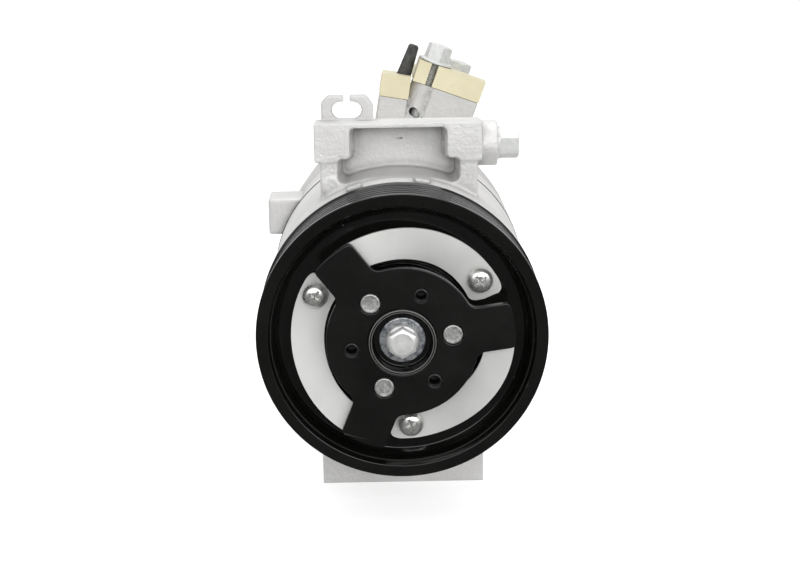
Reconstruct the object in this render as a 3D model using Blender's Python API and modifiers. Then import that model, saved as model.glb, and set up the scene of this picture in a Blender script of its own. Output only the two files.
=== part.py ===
"""Clutchless, variable-displacement swash-plate compressor for a car's air conditioning.

Metres, +Z up, front (pulley side) towards -Y. Everything hangs on the empty "compressor", whose
own frame starts where the shaft axis meets the pulley's front rim: x to the right, y backwards,
z up. That empty stands SHAFT_HEIGHT above the floor and RIM_FORWARD in front of the world origin,
so the world origin lies on the floor under the joint between front housing and cylinder block.
"""

from math import asin, atan2, cos, pi, radians, sin

import bmesh
import bpy
from mathutils import Matrix, Vector

# Placing of the whole compressor
SHAFT_HEIGHT = 0.075
RIM_FORWARD = 0.100
GAP = 0.0003

# Pulley: six poly-V grooves
PULLEY_RADIUS = 0.055
PULLEY_WIDTH = 0.0255
RIB_COUNT = 6
RIB_PITCH = 0.00356
RIB_TOP_RADIUS = 0.0543
RIB_DEPTH = 0.0029
RIB_TIP = 0.0005
LIP_INNER_RADIUS = 0.0506
WEB_RADIUS = 0.048
WEB_FRONT = 0.0095
WEB_BACK = 0.015
PULLEY_HUB_RADIUS = 0.0296

# Pulley bearing 35 x 52 x 18
BEARING_BORE = 0.0175
BEARING_OUTER = 0.026
BEARING_FRONT = 0.0062
BEARING_WIDTH = 0.018
BALL_PITCH_RADIUS = 0.02175
BALL_RADIUS = 0.0024
BALL_COUNT = 10

# Drive plate and what is riveted to it
ARM_ANGLES = (8, 128, 248)
PLATE_FRONT = -0.005
PLATE_BACK = -0.002
PLATE_RADIUS = 0.0285
ARM_RADIUS = 0.0423
ARM_HALF_WIDTH = 0.0087
ARM_CORNER = 0.002
ARM_ROOT_FILLET = 0.004
RIVET_CIRCLE = 0.019
RIVET_RADIUS = 0.00365
PULLER_CIRCLE = 0.0192
PULLER_RADIUS = 0.0025
SPRING_THICKNESS = 0.0012
SPRING_OUTER = 0.042
SPRING_LOW = 0.0070
PAD_FRONT = 0.0085
SPRING_HIGH = -0.0017
SCREW_BEFORE_ARM = 93.4
SCREW_END = 9.0
SCREW_CIRCLE = 0.036
BOSS_RADIUS = 0.0126
BOSS_FRONT = -0.006

# Shaft and crankcase
SHAFT_RADIUS = 0.008
SPLINE_RADIUS = 0.007
SHAFT_FRONT = -0.0002
SHAFT_BACK = 0.128
BARREL_RADIUS = 0.0535
CRANKCASE_RADIUS = 0.0475
CRANKCASE_FRONT = 0.0535
BARREL_JOINT = 0.100
REAR_JOINT = 0.123
BLOCK_FACE = 0.106
BLOCK_BACK = 0.1532
BLOCK_SPIGOT_RADIUS = 0.048
HEAD_INNER_FACE = 0.1576
HEAD_BACK = 0.200

# Swash plate, pistons and shoes
PISTON_ANGLES = (54, 126, 198, 270, 342)
PISTON_CIRCLE = 0.032
BORE_RADIUS = 0.0145
PISTON_CROWN = 0.1526
PISTON_SKIRT = 0.1284
SWASH_MIDDLE = 0.092
SWASH_RADIUS = 0.039
SWASH_THICKNESS = 0.006
SLEEVE_BALL = 0.014
SLEEVE_HALF_LENGTH = 0.009
SHOE_BALL = 0.009
SHOE_FLAT = 0.0033
JAW_HALF_SLOT = 0.0066
JAW_HALF_WIDTH = 0.009

# Through bolts
BOLT_ANGLES = (18, 90, 162, 234, 306)
BOLT_CIRCLE = 0.0435
BOLT_RADIUS = 0.003
BOLT_FRONT = 0.042
BOLT_SEAT = 0.2037

# Mounting lugs
LUG_BOLT_RADIUS = 0.0043
UPPER_BOLT = (0.050, 0.0655)
LOWER_BOLT = (0.055, -0.0655)
SLAB_HALF_WIDTH = 0.0325
SLAB_TOP = 0.0743
SLAB_FRONT = 0.040
SLAB_BACK = 0.060
RECESS_FLOOR = 0.056
LUG_HALF_WIDTH = 0.033

# Ports, tilted to the right
PORT_TILT = radians(20)
LEFT_PORT_TILT = radians(9.5)
PORT_FRONT = 0.141
SLOT_BOSS = (-0.0139, 0.1485)
SLOT_BOSS_RADIUS = 0.0060

# Sides of round pieces
ROUND_CASTING = 32
ROUND_BIG = 32
ROUND_MIDDLE = 20
ROUND_SMALL = 10

for old in list(bpy.data.objects):
    bpy.data.objects.remove(old, do_unlink=True)

scene = bpy.context.scene
parts = bpy.data.collections.new("ac_compressor")
cutters = bpy.data.collections.new("cutters")
scene.collection.children.link(parts)
scene.collection.children.link(cutters)


# ---------------------------------------------------------------- helpers

def empty(name, location=(0, 0, 0), parent=None, turn=0.0):
    """A frame that pieces hang on, turned about its own y axis."""
    frame = bpy.data.objects.new(name, None)
    frame.location = location
    frame.rotation_euler = (0, turn, 0)
    frame.parent = parent
    parts.objects.link(frame)
    return frame


def material(name, colour, roughness, metallic):
    made = bpy.data.materials.new(name)
    made.use_nodes = True
    shader = made.node_tree.nodes["Principled BSDF"]
    shader.inputs["Base Color"].default_value = (*colour, 1)
    shader.inputs["Roughness"].default_value = roughness
    shader.inputs["Metallic"].default_value = metallic
    return made


def place(name, mesh, parent, location=(0, 0, 0)):
    piece = bpy.data.objects.new(name, mesh)
    piece.location = location
    piece.parent = parent
    parts.objects.link(piece)
    return piece


def finish(piece, stuff):
    """Gives the piece its material and smooth round faces."""
    piece.data.materials.clear()
    piece.data.materials.append(stuff)
    piece.data.shade_smooth()
    return piece


def helper(piece):
    """Turns a piece into a cutter or a tool for a union, which isn't part of the object."""
    parts.objects.unlink(piece)
    cutters.objects.link(piece)
    piece.hide_render = True
    piece.display_type = "WIRE"
    return piece


def combine(piece, others, operation):
    for other in others:
        step = piece.modifiers.new(other.name, "BOOLEAN")
        step.operation = operation
        step.solver = "EXACT"
        step.object = helper(other)
    return piece


def cut(piece, *others):
    return combine(piece, others, "DIFFERENCE")


def join(piece, *others):
    return combine(piece, others, "UNION")


def block(name, low, high, parent):
    """A box between two corners."""
    middle = (Vector(low) + Vector(high)) / 2
    size = Vector(high) - Vector(low)
    mesh = bpy.data.meshes.new(name)
    shape = bmesh.new()
    bmesh.ops.create_cube(shape, size=1, matrix=Matrix.Diagonal((*size, 1)))
    shape.to_mesh(mesh)
    shape.free()
    return place(name, mesh, parent, middle)


def rod(name, start, end, radius, parent, sides=ROUND_SMALL, end_radius=None):
    """A round, conical or many-sided rod from start to end."""
    along = Vector(end) - Vector(start)
    mesh = bpy.data.meshes.new(name)
    shape = bmesh.new()
    bmesh.ops.create_cone(
        shape, cap_ends=True, segments=sides, radius1=radius,
        radius2=radius if end_radius is None else end_radius, depth=along.length,
        matrix=Matrix.Translation((0, 0, along.length / 2)),
    )
    shape.to_mesh(mesh)
    shape.free()
    piece = place(name, mesh, parent, start)
    piece.rotation_euler = along.to_track_quat("Z", "Y").to_euler()
    return piece


def ball(name, centre, radius, parent, segments=16, rings=10):
    mesh = bpy.data.meshes.new(name)
    shape = bmesh.new()
    bmesh.ops.create_uvsphere(shape, u_segments=segments, v_segments=rings, radius=radius)
    shape.to_mesh(mesh)
    shape.free()
    return place(name, mesh, parent, centre)


def runs_down(profile):
    """The (radius, y) profile in the order that faces a Screw's surface outwards."""
    area = sum(a[0] * b[1] - b[0] * a[1] for a, b in zip(profile, profile[1:] + profile[:1]))
    return profile if area < 0 else profile[::-1]


def turned(name, profile, parent, steps=ROUND_BIG, location=(0, 0, 0)):
    """A shape turned about y. The profile is closed unless both its ends lie on the axis."""
    on_axis = profile[0][0] == 0 and profile[-1][0] == 0
    points = runs_down(profile)
    edges = [(i, i + 1) for i in range(len(points) - 1)]
    if not on_axis:
        edges.append((len(points) - 1, 0))
    mesh = bpy.data.meshes.new(name)
    mesh.from_pydata([(radius, y, 0) for radius, y in points], edges, [])
    piece = place(name, mesh, parent, location)
    screw = piece.modifiers.new("turn", "SCREW")
    screw.axis = "Y"
    screw.angle = 2 * pi
    screw.steps = screw.render_steps = steps
    screw.use_merge_vertices = True
    screw.merge_threshold = 1e-6
    return piece


def ring(name, inner, outer, front, back, parent, steps=ROUND_BIG):
    profile = [(inner, front), (outer, front), (outer, back), (inner, back)]
    return turned(name, profile, parent, steps)


def solid(piece):
    """Replaces a piece's modifiers, or its curve, by the welded mesh that they make."""
    bpy.context.view_layer.update()
    graph = bpy.context.evaluated_depsgraph_get()
    mesh = bpy.data.meshes.new_from_object(piece.evaluated_get(graph))
    shape = bmesh.new()
    shape.from_mesh(mesh)
    bmesh.ops.remove_doubles(shape, verts=shape.verts, dist=1e-6)
    shape.to_mesh(mesh)
    shape.free()
    made = bpy.data.objects.new(piece.name + "_solid", mesh)
    made.parent = piece.parent
    made.location = piece.location
    made.rotation_euler = piece.rotation_euler
    name = piece.name
    bpy.data.objects.remove(piece, do_unlink=True)
    made.name = name
    mesh.name = name
    parts.objects.link(made)
    return made


def plate(name, outline, front, back, parent, holes=()):
    """A flat (x, z) outline, with round holes (x, z, radius), made thick from front to back."""
    flat = bpy.data.curves.new(name, "CURVE")
    flat.dimensions = "2D"
    flat.fill_mode = "BOTH"
    flat.extrude = (back - front) / 2
    rings = [outline] + [circle(x, z, radius, hole_sides(radius)) for x, z, radius in holes]
    for points in rings:
        spline = flat.splines.new("POLY")
        spline.points.add(len(points) - 1)
        for point, (x, z) in zip(spline.points, points):
            point.co = (x, z, 0, 1)
        spline.use_cyclic_u = True
    piece = place(name, flat, parent, (0, (front + back) / 2, 0))
    piece.rotation_euler = (pi / 2, 0, 0)
    return solid(piece)


def arc(centre, radius, start, end, count):
    """Points along an arc, angles in radians from +x towards +z."""
    angles = [start + (end - start) * i / (count - 1) for i in range(count)]
    return [(centre[0] + radius * cos(a), centre[1] + radius * sin(a)) for a in angles]


def circle(x, z, radius, sides=ROUND_SMALL):
    return arc((x, z), radius, 0, 2 * pi * (1 - 1 / sides), sides)


def hole_sides(radius):
    return ROUND_BIG if radius > 0.01 else ROUND_SMALL


def polar(radius, degrees, y=0.0):
    """A point at a radius and an angle about the shaft axis, seen from the front."""
    angle = radians(degrees)
    return Vector((radius * cos(angle), y, radius * sin(angle)))


def hexagon(across_flats):
    """Corner radius of a hexagon."""
    return across_flats / 2 / cos(pi / 6)


# ---------------------------------------------------------------- materials and frames

CAST = material("cast_aluminium", (0.72, 0.71, 0.70), 0.5, 0.6)
BLACK = material("black_coated_steel", (0.012, 0.012, 0.011), 0.25, 0.2)
ZINC = material("zinc_plated_steel", (0.62, 0.63, 0.62), 0.25, 1.0)
SPRING = material("spring_steel", (0.60, 0.61, 0.60), 0.35, 1.0)
STEEL = material("ground_steel", (0.50, 0.50, 0.51), 0.3, 1.0)
IVORY = material("ivory_plastic", (0.84, 0.77, 0.56), 0.45, 0.0)
RUBBER = material("black_rubber", (0.05, 0.05, 0.048), 0.8, 0.0)
COATED = material("coated_piston", (0.16, 0.16, 0.17), 0.5, 0.3)

base = empty("compressor", (0, -RIM_FORWARD, SHAFT_HEIGHT))
rotor = empty("rotor_axis", parent=base)
ports = empty("port_frame", parent=base, turn=PORT_TILT)
left_ports = empty("left_port_frame", parent=base, turn=LEFT_PORT_TILT)


# ---------------------------------------------------------------- castings

def bolt_holes(radius, front, back, prefix):
    return [
        rod(f"{prefix}_{i}", polar(BOLT_CIRCLE, a, front), polar(BOLT_CIRCLE, a, back), radius, base)
        for i, a in enumerate(BOLT_ANGLES, 1)
    ]


def make_recess():
    """The stepped pocket in the upper lug's front, whose lower edge follows the barrel."""
    upper = block("recess_upper", (-0.019, 0.03, 0.060), (0.019, RECESS_FLOOR, 0.0728), base)
    lower = block("recess_lower", (-0.024, 0.03, 0.050), (0.024, RECESS_FLOOR, 0.0615), base)
    cut(lower, rod("recess_bottom", (0, 0.02, 0), (0, 0.07, 0), 0.0575, base, 48))
    return [upper, lower]


def make_clip_bracket():
    """The open hook on top of the upper lug that holds a wiring clip."""
    outline = [(-0.0302, 0.0725), (-0.0097, 0.0725), (-0.0097, 0.0808), (-0.0125, 0.0846),
               (-0.0275, 0.0846), (-0.0302, 0.0818)]
    hook = plate("clip_hook", outline, 0.0526, 0.0570, base)
    opening = (arc((-0.0226, 0.0787), 0.0034, pi / 2, 3 * pi / 2, 7)
               + arc((-0.0176, 0.0787), 0.0034, -pi / 2, pi / 2, 7))
    return cut(hook,
               plate("clip_opening", opening, 0.050, 0.060, base),
               block("clip_gap", (-0.0213, 0.050, 0.080), (-0.0189, 0.060, 0.090), base))


def make_front_housing():
    nose = BEARING_BORE - GAP
    shoulder = BEARING_FRONT + BEARING_WIDTH + GAP
    outer = [
        (0, 0.0042), (nose - 0.0005, 0.0042), (nose, 0.0047), (nose, 0.0049), (0.0162, 0.0049),
        (0.0162, 0.0061), (nose, 0.0061), (nose, shoulder), (0.0202, shoulder), (0.0202, 0.0275),
        (0.040, 0.029), (0.047, 0.034), (0.051, 0.042), (BARREL_RADIUS, 0.056),
        (BARREL_RADIUS, BARREL_JOINT - GAP / 2), (0, BARREL_JOINT - GAP / 2),
    ]
    inner = [
        (0, 0.003), (0.014, 0.003), (0.014, 0.030), (0.009, 0.030), (0.009, 0.036),
        (0.0123, 0.036), (0.0123, CRANKCASE_FRONT), (0.045, CRANKCASE_FRONT),
        (CRANKCASE_RADIUS, 0.056), (CRANKCASE_RADIUS, 0.101), (0, 0.101),
    ]
    y, z = UPPER_BOLT
    low_y, low_z = LOWER_BOLT
    housing = turned("front_housing", outer, base, ROUND_CASTING)
    join(
        housing,
        block("slab", (-SLAB_HALF_WIDTH, SLAB_FRONT, 0.060), (SLAB_HALF_WIDTH, SLAB_BACK, SLAB_TOP), base),
        block("slab_neck", (-0.0308, SLAB_FRONT + 0.0003, 0.020), (0.0308, SLAB_BACK + 0.0003, 0.061), base),
        rod("bolt_boss", (0.020, y, z), (0.039, y, z), 0.009, base, 24),
        block("lower_lug", (-LUG_HALF_WIDTH, 0.046, -SHAFT_HEIGHT), (LUG_HALF_WIDTH, 0.064, -0.030), base),
        make_clip_bracket(),
    )
    cut(
        housing,
        turned("crankcase", inner, base, ROUND_CASTING),
        *make_recess(),
        rod("upper_bolt_hole", (-0.040, y, z), (0.030, y, z), LUG_BOLT_RADIUS, base, 16),
        rod("bush_seat", (0.0267, y, z), (0.045, y, z), 0.0068, base, 20),
        rod("lower_bolt_hole", (-0.040, low_y, low_z), (0.040, low_y, low_z), LUG_BOLT_RADIUS, base, 16),
        *bolt_holes(BOLT_RADIUS + GAP, BOLT_FRONT - 0.001, 0.060, "front_bolt_hole"),
    )
    finish(solid(housing), CAST)


def make_cylinder_block():
    outer = [(0, BARREL_JOINT + GAP / 2), (BARREL_RADIUS, BARREL_JOINT + GAP / 2),
             (BARREL_RADIUS, REAR_JOINT), (BLOCK_SPIGOT_RADIUS, REAR_JOINT),
             (BLOCK_SPIGOT_RADIUS, BLOCK_BACK), (0, BLOCK_BACK)]
    body = turned("cylinder_block", outer, base, ROUND_CASTING)
    join(body, block("side_lug", (-0.0560, 0.1022, 0.0182), (-0.040, 0.1215, 0.0338), base))
    bores = [
        rod(f"bore_{i}", polar(PISTON_CIRCLE, a, 0.104), polar(PISTON_CIRCLE, a, 0.156),
            BORE_RADIUS, base, ROUND_MIDDLE)
        for i, a in enumerate(PISTON_ANGLES, 1)
    ]
    cut(
        body,
        rod("block_recess", (0, 0.098, 0), (0, BLOCK_FACE, 0), CRANKCASE_RADIUS, base, ROUND_CASTING),
        rod("rear_bearing_seat", (0, 0.104, 0), (0, 0.130, 0), 0.0123, base, 24),
        ring("seal_groove", 0.0497, 0.0513, 0.098, BARREL_JOINT + 0.0013, base, ROUND_CASTING),
        *bores,
        *bolt_holes(BOLT_RADIUS + GAP, 0.104, 0.156, "block_bolt_hole"),
    )
    finish(solid(body), CAST)


def make_rear_head():
    outer = [(0, REAR_JOINT + GAP), (0.0532, REAR_JOINT + GAP), (0.0532, 0.150), (0.0517, 0.172),
             (0.0505, 0.190), (0.0465, HEAD_BACK), (0, HEAD_BACK)]
    cup = BLOCK_SPIGOT_RADIUS + GAP
    chambers = [(0, 0.120), (cup, 0.120), (cup, HEAD_INNER_FACE), (0.038, HEAD_INNER_FACE),
                (0.038, 0.166), (0.024, 0.166), (0.024, HEAD_INNER_FACE), (0.021, HEAD_INNER_FACE),
                (0.021, 0.174), (0.008, 0.174), (0.008, 0.192), (0, 0.192)]
    head = turned("rear_head", outer, base, ROUND_CASTING)
    bosses = [
        rod(f"bolt_pad_{i}", polar(BOLT_CIRCLE, a, 0.180), polar(BOLT_CIRCLE, a, BOLT_SEAT), 0.0072,
            base, 20)
        for i, a in enumerate(BOLT_ANGLES, 1)
    ]
    join(
        head,
        *bosses,
        block("rear_lug", (-0.020, 0.138, -SHAFT_HEIGHT), (0.020, 0.156, -0.035), base),
        rod("valve_pad", (-0.0530, 0.184, -0.010), (-0.020, 0.184, -0.010), 0.0112, base, 24),
        block("left_port", (-0.0190, PORT_FRONT + 0.0008, 0.030), (-0.0064, 0.168, 0.0702), left_ports),
        block("right_port", (-0.0100, PORT_FRONT + 0.0008, 0.030), (0.0114, 0.174, 0.0767), ports),
        rod("slot_boss", (*SLOT_BOSS, 0.030), (*SLOT_BOSS, 0.0767), SLOT_BOSS_RADIUS, ports, ROUND_MIDDLE),
        block("port_web", (-0.0210, 0.150, 0.030), (-0.0090, 0.166, 0.0660), ports),
    )
    cut(
        head,
        turned("chambers", chambers, base, ROUND_BIG),
        *bolt_holes(BOLT_RADIUS + GAP, 0.156, 0.206, "head_bolt_hole"),
        rod("suction_port", (0.0010, 0.156, 0.036), (0.0010, 0.156, 0.080), 0.0065, ports, 20),
        rod("discharge_port", (-0.0127, 0.159, 0.050), (-0.0127, 0.159, 0.075), 0.0042, left_ports, 16),
        rod("discharge_passage", (-0.0127, 0.162, 0.054), (0, 0.188, 0.002), 0.0028, left_ports, 12),
        rod("slot_bolt_hole", (-0.0124, 0.1480, 0.058), (-0.0124, 0.1480, 0.080), 0.0033, ports),
        rod("rear_bolt_hole", (0, 0.1700, 0.058), (0, 0.1700, 0.080), 0.0033, ports),
        rod("cast_hole", (-0.0147, 0.130, 0.0632), (-0.0147, 0.154, 0.0632), 0.0023, ports),
        rod("valve_seat", (-0.060, 0.184, -0.010), (-0.0142, 0.184, -0.010), 0.0083, base, 20),
        rod("relief_seat", (0.018, 0.186, 0.014), (0.018, 0.210, 0.014), 0.0053, base, 16),
    )
    finish(solid(head), CAST)


# ---------------------------------------------------------------- static inner and outer pieces

def make_valve_plates():
    rim = circle(0, 0, BLOCK_SPIGOT_RADIUS - GAP, ROUND_BIG)
    bolts = [(p.x, p.z, BOLT_RADIUS + GAP) for p in (polar(BOLT_CIRCLE, a) for a in BOLT_ANGLES)]
    outlets = [(p.x, p.z, 0.0016) for p in (polar(0.0193, a) for a in PISTON_ANGLES)]
    inlets = [(p.x, p.z, 0.0030) for p in (polar(0.0325, a) for a in PISTON_ANGLES)]
    finish(plate("reed_plate", rim, 0.1535, 0.1540, base, bolts + outlets), STEEL)
    finish(plate("valve_plate", rim, 0.1543, 0.1573, base, bolts + outlets + inlets), STEEL)


def make_seals_and_bearings():
    finish(solid(ring("shaft_seal", SHAFT_RADIUS + GAP, 0.0137, 0.0190, 0.0270, base, ROUND_MIDDLE)), RUBBER)
    finish(solid(ring("front_bearing", SHAFT_RADIUS + GAP, 0.0120, 0.0370, 0.0510, base, ROUND_MIDDLE)), STEEL)
    finish(solid(ring("rear_bearing", SHAFT_RADIUS + GAP, 0.0120, 0.1090, 0.1260, base, ROUND_MIDDLE)), STEEL)
    section = [(0.0505 + 0.00055 * cos(a), BARREL_JOINT + 0.0006 + 0.00055 * sin(a))
               for a in (pi * i / 2 for i in range(4))]
    finish(solid(turned("front_o_ring", section, base, ROUND_CASTING)), RUBBER)
    snap = ring("bearing_snap_ring", 0.0165, 0.0195, 0.0050, 0.0059, base, ROUND_MIDDLE)
    cut(snap, block("snap_ring_gap", (-0.003, 0.004, -0.025), (0.003, 0.007, -0.010), base))
    finish(solid(snap), SPRING)


def groove(radius, bulge):
    """The half-round track of a ball race, at the pitch radius, bulging outwards (1) or inwards (-1)."""
    middle = BEARING_FRONT + BEARING_WIDTH / 2
    track = BALL_RADIUS + GAP
    half = asin((radius - BALL_PITCH_RADIUS) / track * bulge)
    angles = [half + (pi - 2 * half) * i / 4 for i in range(5)]
    return [(BALL_PITCH_RADIUS + bulge * track * sin(a), middle + track * cos(a)) for a in angles]


def make_bearing():
    front, back = BEARING_FRONT, BEARING_FRONT + BEARING_WIDTH
    inner = [(BEARING_BORE, front), (BEARING_BORE, back), (0.0202, back)] + groove(0.0202, -1)
    outer = [(BEARING_OUTER, front), (BEARING_OUTER, back), (0.0233, back)] + groove(0.0233, 1)
    inner.append((0.0202, front))
    outer.append((0.0233, front))
    finish(solid(turned("bearing_inner_race", inner, base, 24)), STEEL)
    finish(solid(turned("bearing_outer_race", outer, rotor, 24)), STEEL)
    middle = front + BEARING_WIDTH / 2
    cage = ring("bearing_balls", 0.0211, 0.0224, middle - 0.0018, middle + 0.0018, rotor, ROUND_BIG)
    join(cage, *[
        ball(f"ball_{i}", polar(BALL_PITCH_RADIUS, 360 * i / BALL_COUNT + 7, middle), BALL_RADIUS, rotor, 6, 4)
        for i in range(BALL_COUNT)
    ])
    finish(solid(cage), STEEL)


def make_through_bolts():
    first = rod("through_bolt_1", (0, 0, 0), (0, BOLT_SEAT + GAP + 0.0042 - BOLT_FRONT, 0), BOLT_RADIUS, base)
    head_start = BOLT_SEAT + GAP - BOLT_FRONT
    first.location = polar(BOLT_CIRCLE, BOLT_ANGLES[0], BOLT_FRONT)
    head = rod("bolt_head", first.location + Vector((0, head_start, 0)),
               first.location + Vector((0, head_start + 0.0040, 0)), hexagon(0.010), base, 6)
    flange = rod("bolt_flange", first.location + Vector((0, head_start, 0)),
                 first.location + Vector((0, head_start + 0.0012, 0)), 0.0065, base, 16)
    shank = solid(join(first, head, flange))
    finish(shank, ZINC)
    for number, angle in enumerate(BOLT_ANGLES[1:], 2):
        bolt = place(f"through_bolt_{number}", shank.data, base, polar(BOLT_CIRCLE, angle, BOLT_FRONT))
        bolt.rotation_euler = shank.rotation_euler


def make_mount_bush():
    y, z = UPPER_BOLT
    bush = rod("mount_bush", (0.0270, y, z), (0.0400, y, z), 0.0065, base, 20)
    join(bush, rod("bush_hex", (0.0393, y, z), (0.0475, y, z), hexagon(0.0118), base, 6))
    cut(bush, rod("bush_bore", (0.020, y, z), (0.050, y, z), LUG_BOLT_RADIUS, base, 16))
    finish(solid(bush), ZINC)


def make_valves():
    y, z = 0.184, -0.010
    control = rod("control_valve", (-0.0533, y, z), (-0.0148, y, z), 0.0080, base, 20)
    join(control,
         rod("valve_cap", (-0.0542, y, z), (-0.0533, y, z), 0.0098, base, 20),
         rod("valve_neck", (-0.0540, y, z), (-0.0480, y, z), 0.0070, base, 20),
         block("valve_socket", (-0.0548, y - 0.005, z - 0.004), (-0.0535, y + 0.005, z + 0.004), base))
    finish(solid(control), ZINC)
    relief = rod("relief_valve", (0.018, 0.188, 0.014), (0.018, 0.204, 0.014), 0.0050, base, 16)
    join(relief, rod("relief_hex", (0.018, HEAD_BACK + GAP, 0.014), (0.018, 0.2055, 0.014),
                     hexagon(0.014), base, 6))
    finish(solid(relief), ZINC)


def make_port_bolt(name, u, y, seat, tip):
    """A flange bolt along the ports' axis, with its flange resting just above seat."""
    rest = seat + GAP
    bolt = rod(name, (u, y, tip), (u, y, rest + 0.001), BOLT_RADIUS, ports)
    join(bolt,
         rod(name + "_flange", (u, y, rest), (u, y, rest + 0.0013), 0.0076, ports, 20),
         rod(name + "_head", (u, y, rest + 0.001), (u, y, rest + 0.0079), hexagon(0.0105), ports, 6,
             hexagon(0.0098)))
    finish(solid(bolt), ZINC)


def make_port_caps():
    left = block("port_cap_left", (-0.0192, PORT_FRONT, 0.0705), (-0.0062, 0.1685, 0.0812), left_ports)
    cut(left,
        rod("boss_clearance", (*SLOT_BOSS, 0.060), (*SLOT_BOSS, 0.085), SLOT_BOSS_RADIUS + GAP, ports,
            ROUND_MIDDLE),
        rod("plug_seat", (-0.0239, 0.150, 0.0755), (-0.0239, 0.150, 0.085), 0.0036, ports, 16))
    finish(solid(left), IVORY)
    right = block("port_cap_right", (-0.0197, PORT_FRONT, 0.0770), (0.0115, 0.175, 0.0870), ports)
    cut(right,
        rod("cap_bolt_hole", (-0.0124, 0.1480, 0.075), (-0.0124, 0.1480, 0.090), 0.0034, ports, 16),
        block("cap_slot", (-0.0140, 0.135, 0.075), (-0.0108, 0.1480, 0.090), ports),
        block("cap_step", (-0.025, 0.1600, 0.0810), (0.020, 0.180, 0.090), ports),
        rod("cap_rear_hole", (0, 0.1700, 0.075), (0, 0.1700, 0.090), 0.0034, ports, 16))
    finish(solid(right), IVORY)
    make_port_bolt("port_bolt_front", -0.0124, 0.1480, 0.0870, 0.060)
    make_port_bolt("port_bolt_rear", 0, 0.1700, 0.0810, 0.060)
    plug = rod("cap_plug", (-0.0239, 0.150, 0.0760), (-0.0239, 0.150, 0.0915), 0.0033, ports, 16, 0.0021)
    finish(solid(plug), RUBBER)


# ---------------------------------------------------------------- pulley and drive plate

def make_pulley():
    """Six V grooves between two lips, a web set back from the rim, and a hub over the bearing."""
    width, radius = PULLEY_WIDTH, PULLEY_RADIUS
    first = width / 2 - RIB_COUNT * RIB_PITCH / 2
    ribs = []
    for i in range(RIB_COUNT):
        start = first + i * RIB_PITCH
        middle = start + RIB_PITCH / 2
        bottom = RIB_TOP_RADIUS - RIB_DEPTH
        ribs += [(RIB_TOP_RADIUS, start + RIB_TIP), (bottom, middle),
                 (RIB_TOP_RADIUS, start + RIB_PITCH - RIB_TIP)]
    bore = BEARING_OUTER + GAP
    profile = (
        [(LIP_INNER_RADIUS, 0), (radius - 0.0006, 0), (radius, 0.0006), (radius, first - 0.0006)]
        + ribs
        + [(radius, width - first + 0.0006), (radius, width - 0.0006), (radius - 0.0006, width),
           (0.0505, width), (0.0485, WEB_BACK), (PULLEY_HUB_RADIUS, WEB_BACK),
           (PULLEY_HUB_RADIUS, width), (bore, width), (bore, WEB_FRONT), (WEB_RADIUS, WEB_FRONT)]
    )
    pulley = turned("pulley", profile, rotor, ROUND_BIG)
    for i, angle in enumerate(ARM_ANGLES, 1):
        at = angle - SCREW_BEFORE_ARM
        join(pulley, rod(f"screw_pad_{i}", polar(SCREW_CIRCLE, at, PAD_FRONT),
                         polar(SCREW_CIRCLE, at, 0.012), 0.0060, rotor, ROUND_MIDDLE))
        cut(pulley, rod(f"web_screw_hole_{i}", polar(SCREW_CIRCLE, at, 0.005),
                        polar(SCREW_CIRCLE, at, 0.018), 0.0028, rotor))
    finish(solid(pulley), BLACK)


def arm_outline():
    """The disc with three parallel-sided arms, filleted at their roots and rounded at their corners."""
    root_q = ARM_HALF_WIDTH + ARM_ROOT_FILLET
    root_p = (((PLATE_RADIUS + ARM_ROOT_FILLET) ** 2) - root_q**2) ** 0.5
    root_angle = atan2(root_q, root_p)
    corner_q = ARM_HALF_WIDTH - ARM_CORNER
    corner_p = ((ARM_RADIUS - ARM_CORNER) ** 2 - corner_q**2) ** 0.5
    corner_angle = atan2(corner_q, corner_p)
    half = arc((0, 0), ARM_RADIUS, 0, corner_angle, 3)[1:]
    half += arc((corner_p, corner_q), ARM_CORNER, corner_angle, pi / 2, 4)[1:]
    half += arc((root_p, root_q), ARM_ROOT_FILLET, 3 * pi / 2, pi + root_angle, 4)
    half += arc((0, 0), PLATE_RADIUS, root_angle, pi / 3, 5)[1:]
    points = []
    for degrees in ARM_ANGLES:
        turn = radians(degrees)
        whole = [(p, -q) for p, q in half[::-1][1:]] + [(ARM_RADIUS, 0)] + half
        points += [(p * cos(turn) - q * sin(turn), p * sin(turn) + q * cos(turn)) for p, q in whole]
    return points


def make_drive_plate():
    holes = [(0, 0, BOSS_RADIUS + GAP)]
    for degrees in ARM_ANGLES:
        rivet = polar(RIVET_CIRCLE, degrees)
        puller = polar(PULLER_CIRCLE, degrees + 60)
        holes += [(rivet.x, rivet.z, RIVET_RADIUS + GAP), (puller.x, puller.z, PULLER_RADIUS)]
    finish(plate("drive_plate", arm_outline(), PLATE_FRONT, PLATE_BACK, rotor, holes), BLACK)


def make_drive_hub():
    floor = -0.0004
    profile = [(SPLINE_RADIUS + GAP, floor), (0.0115, floor), (0.0115, BOSS_FRONT),
               (BOSS_RADIUS, BOSS_FRONT), (BOSS_RADIUS, -0.0002), (0.0235, -0.0002), (0.0235, 0.0016),
               (0.011, 0.0016), (0.011, 0.013), (SPLINE_RADIUS + GAP, 0.013)]
    hub = turned("drive_hub", profile, rotor, 28)
    for i, angle in enumerate(ARM_ANGLES, 1):
        cut(hub, rod(f"hub_rivet_hole_{i}", polar(RIVET_CIRCLE, angle, -0.003),
                     polar(RIVET_CIRCLE, angle, 0.004), RIVET_RADIUS + GAP, rotor, 16))
    finish(solid(hub), BLACK)


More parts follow.
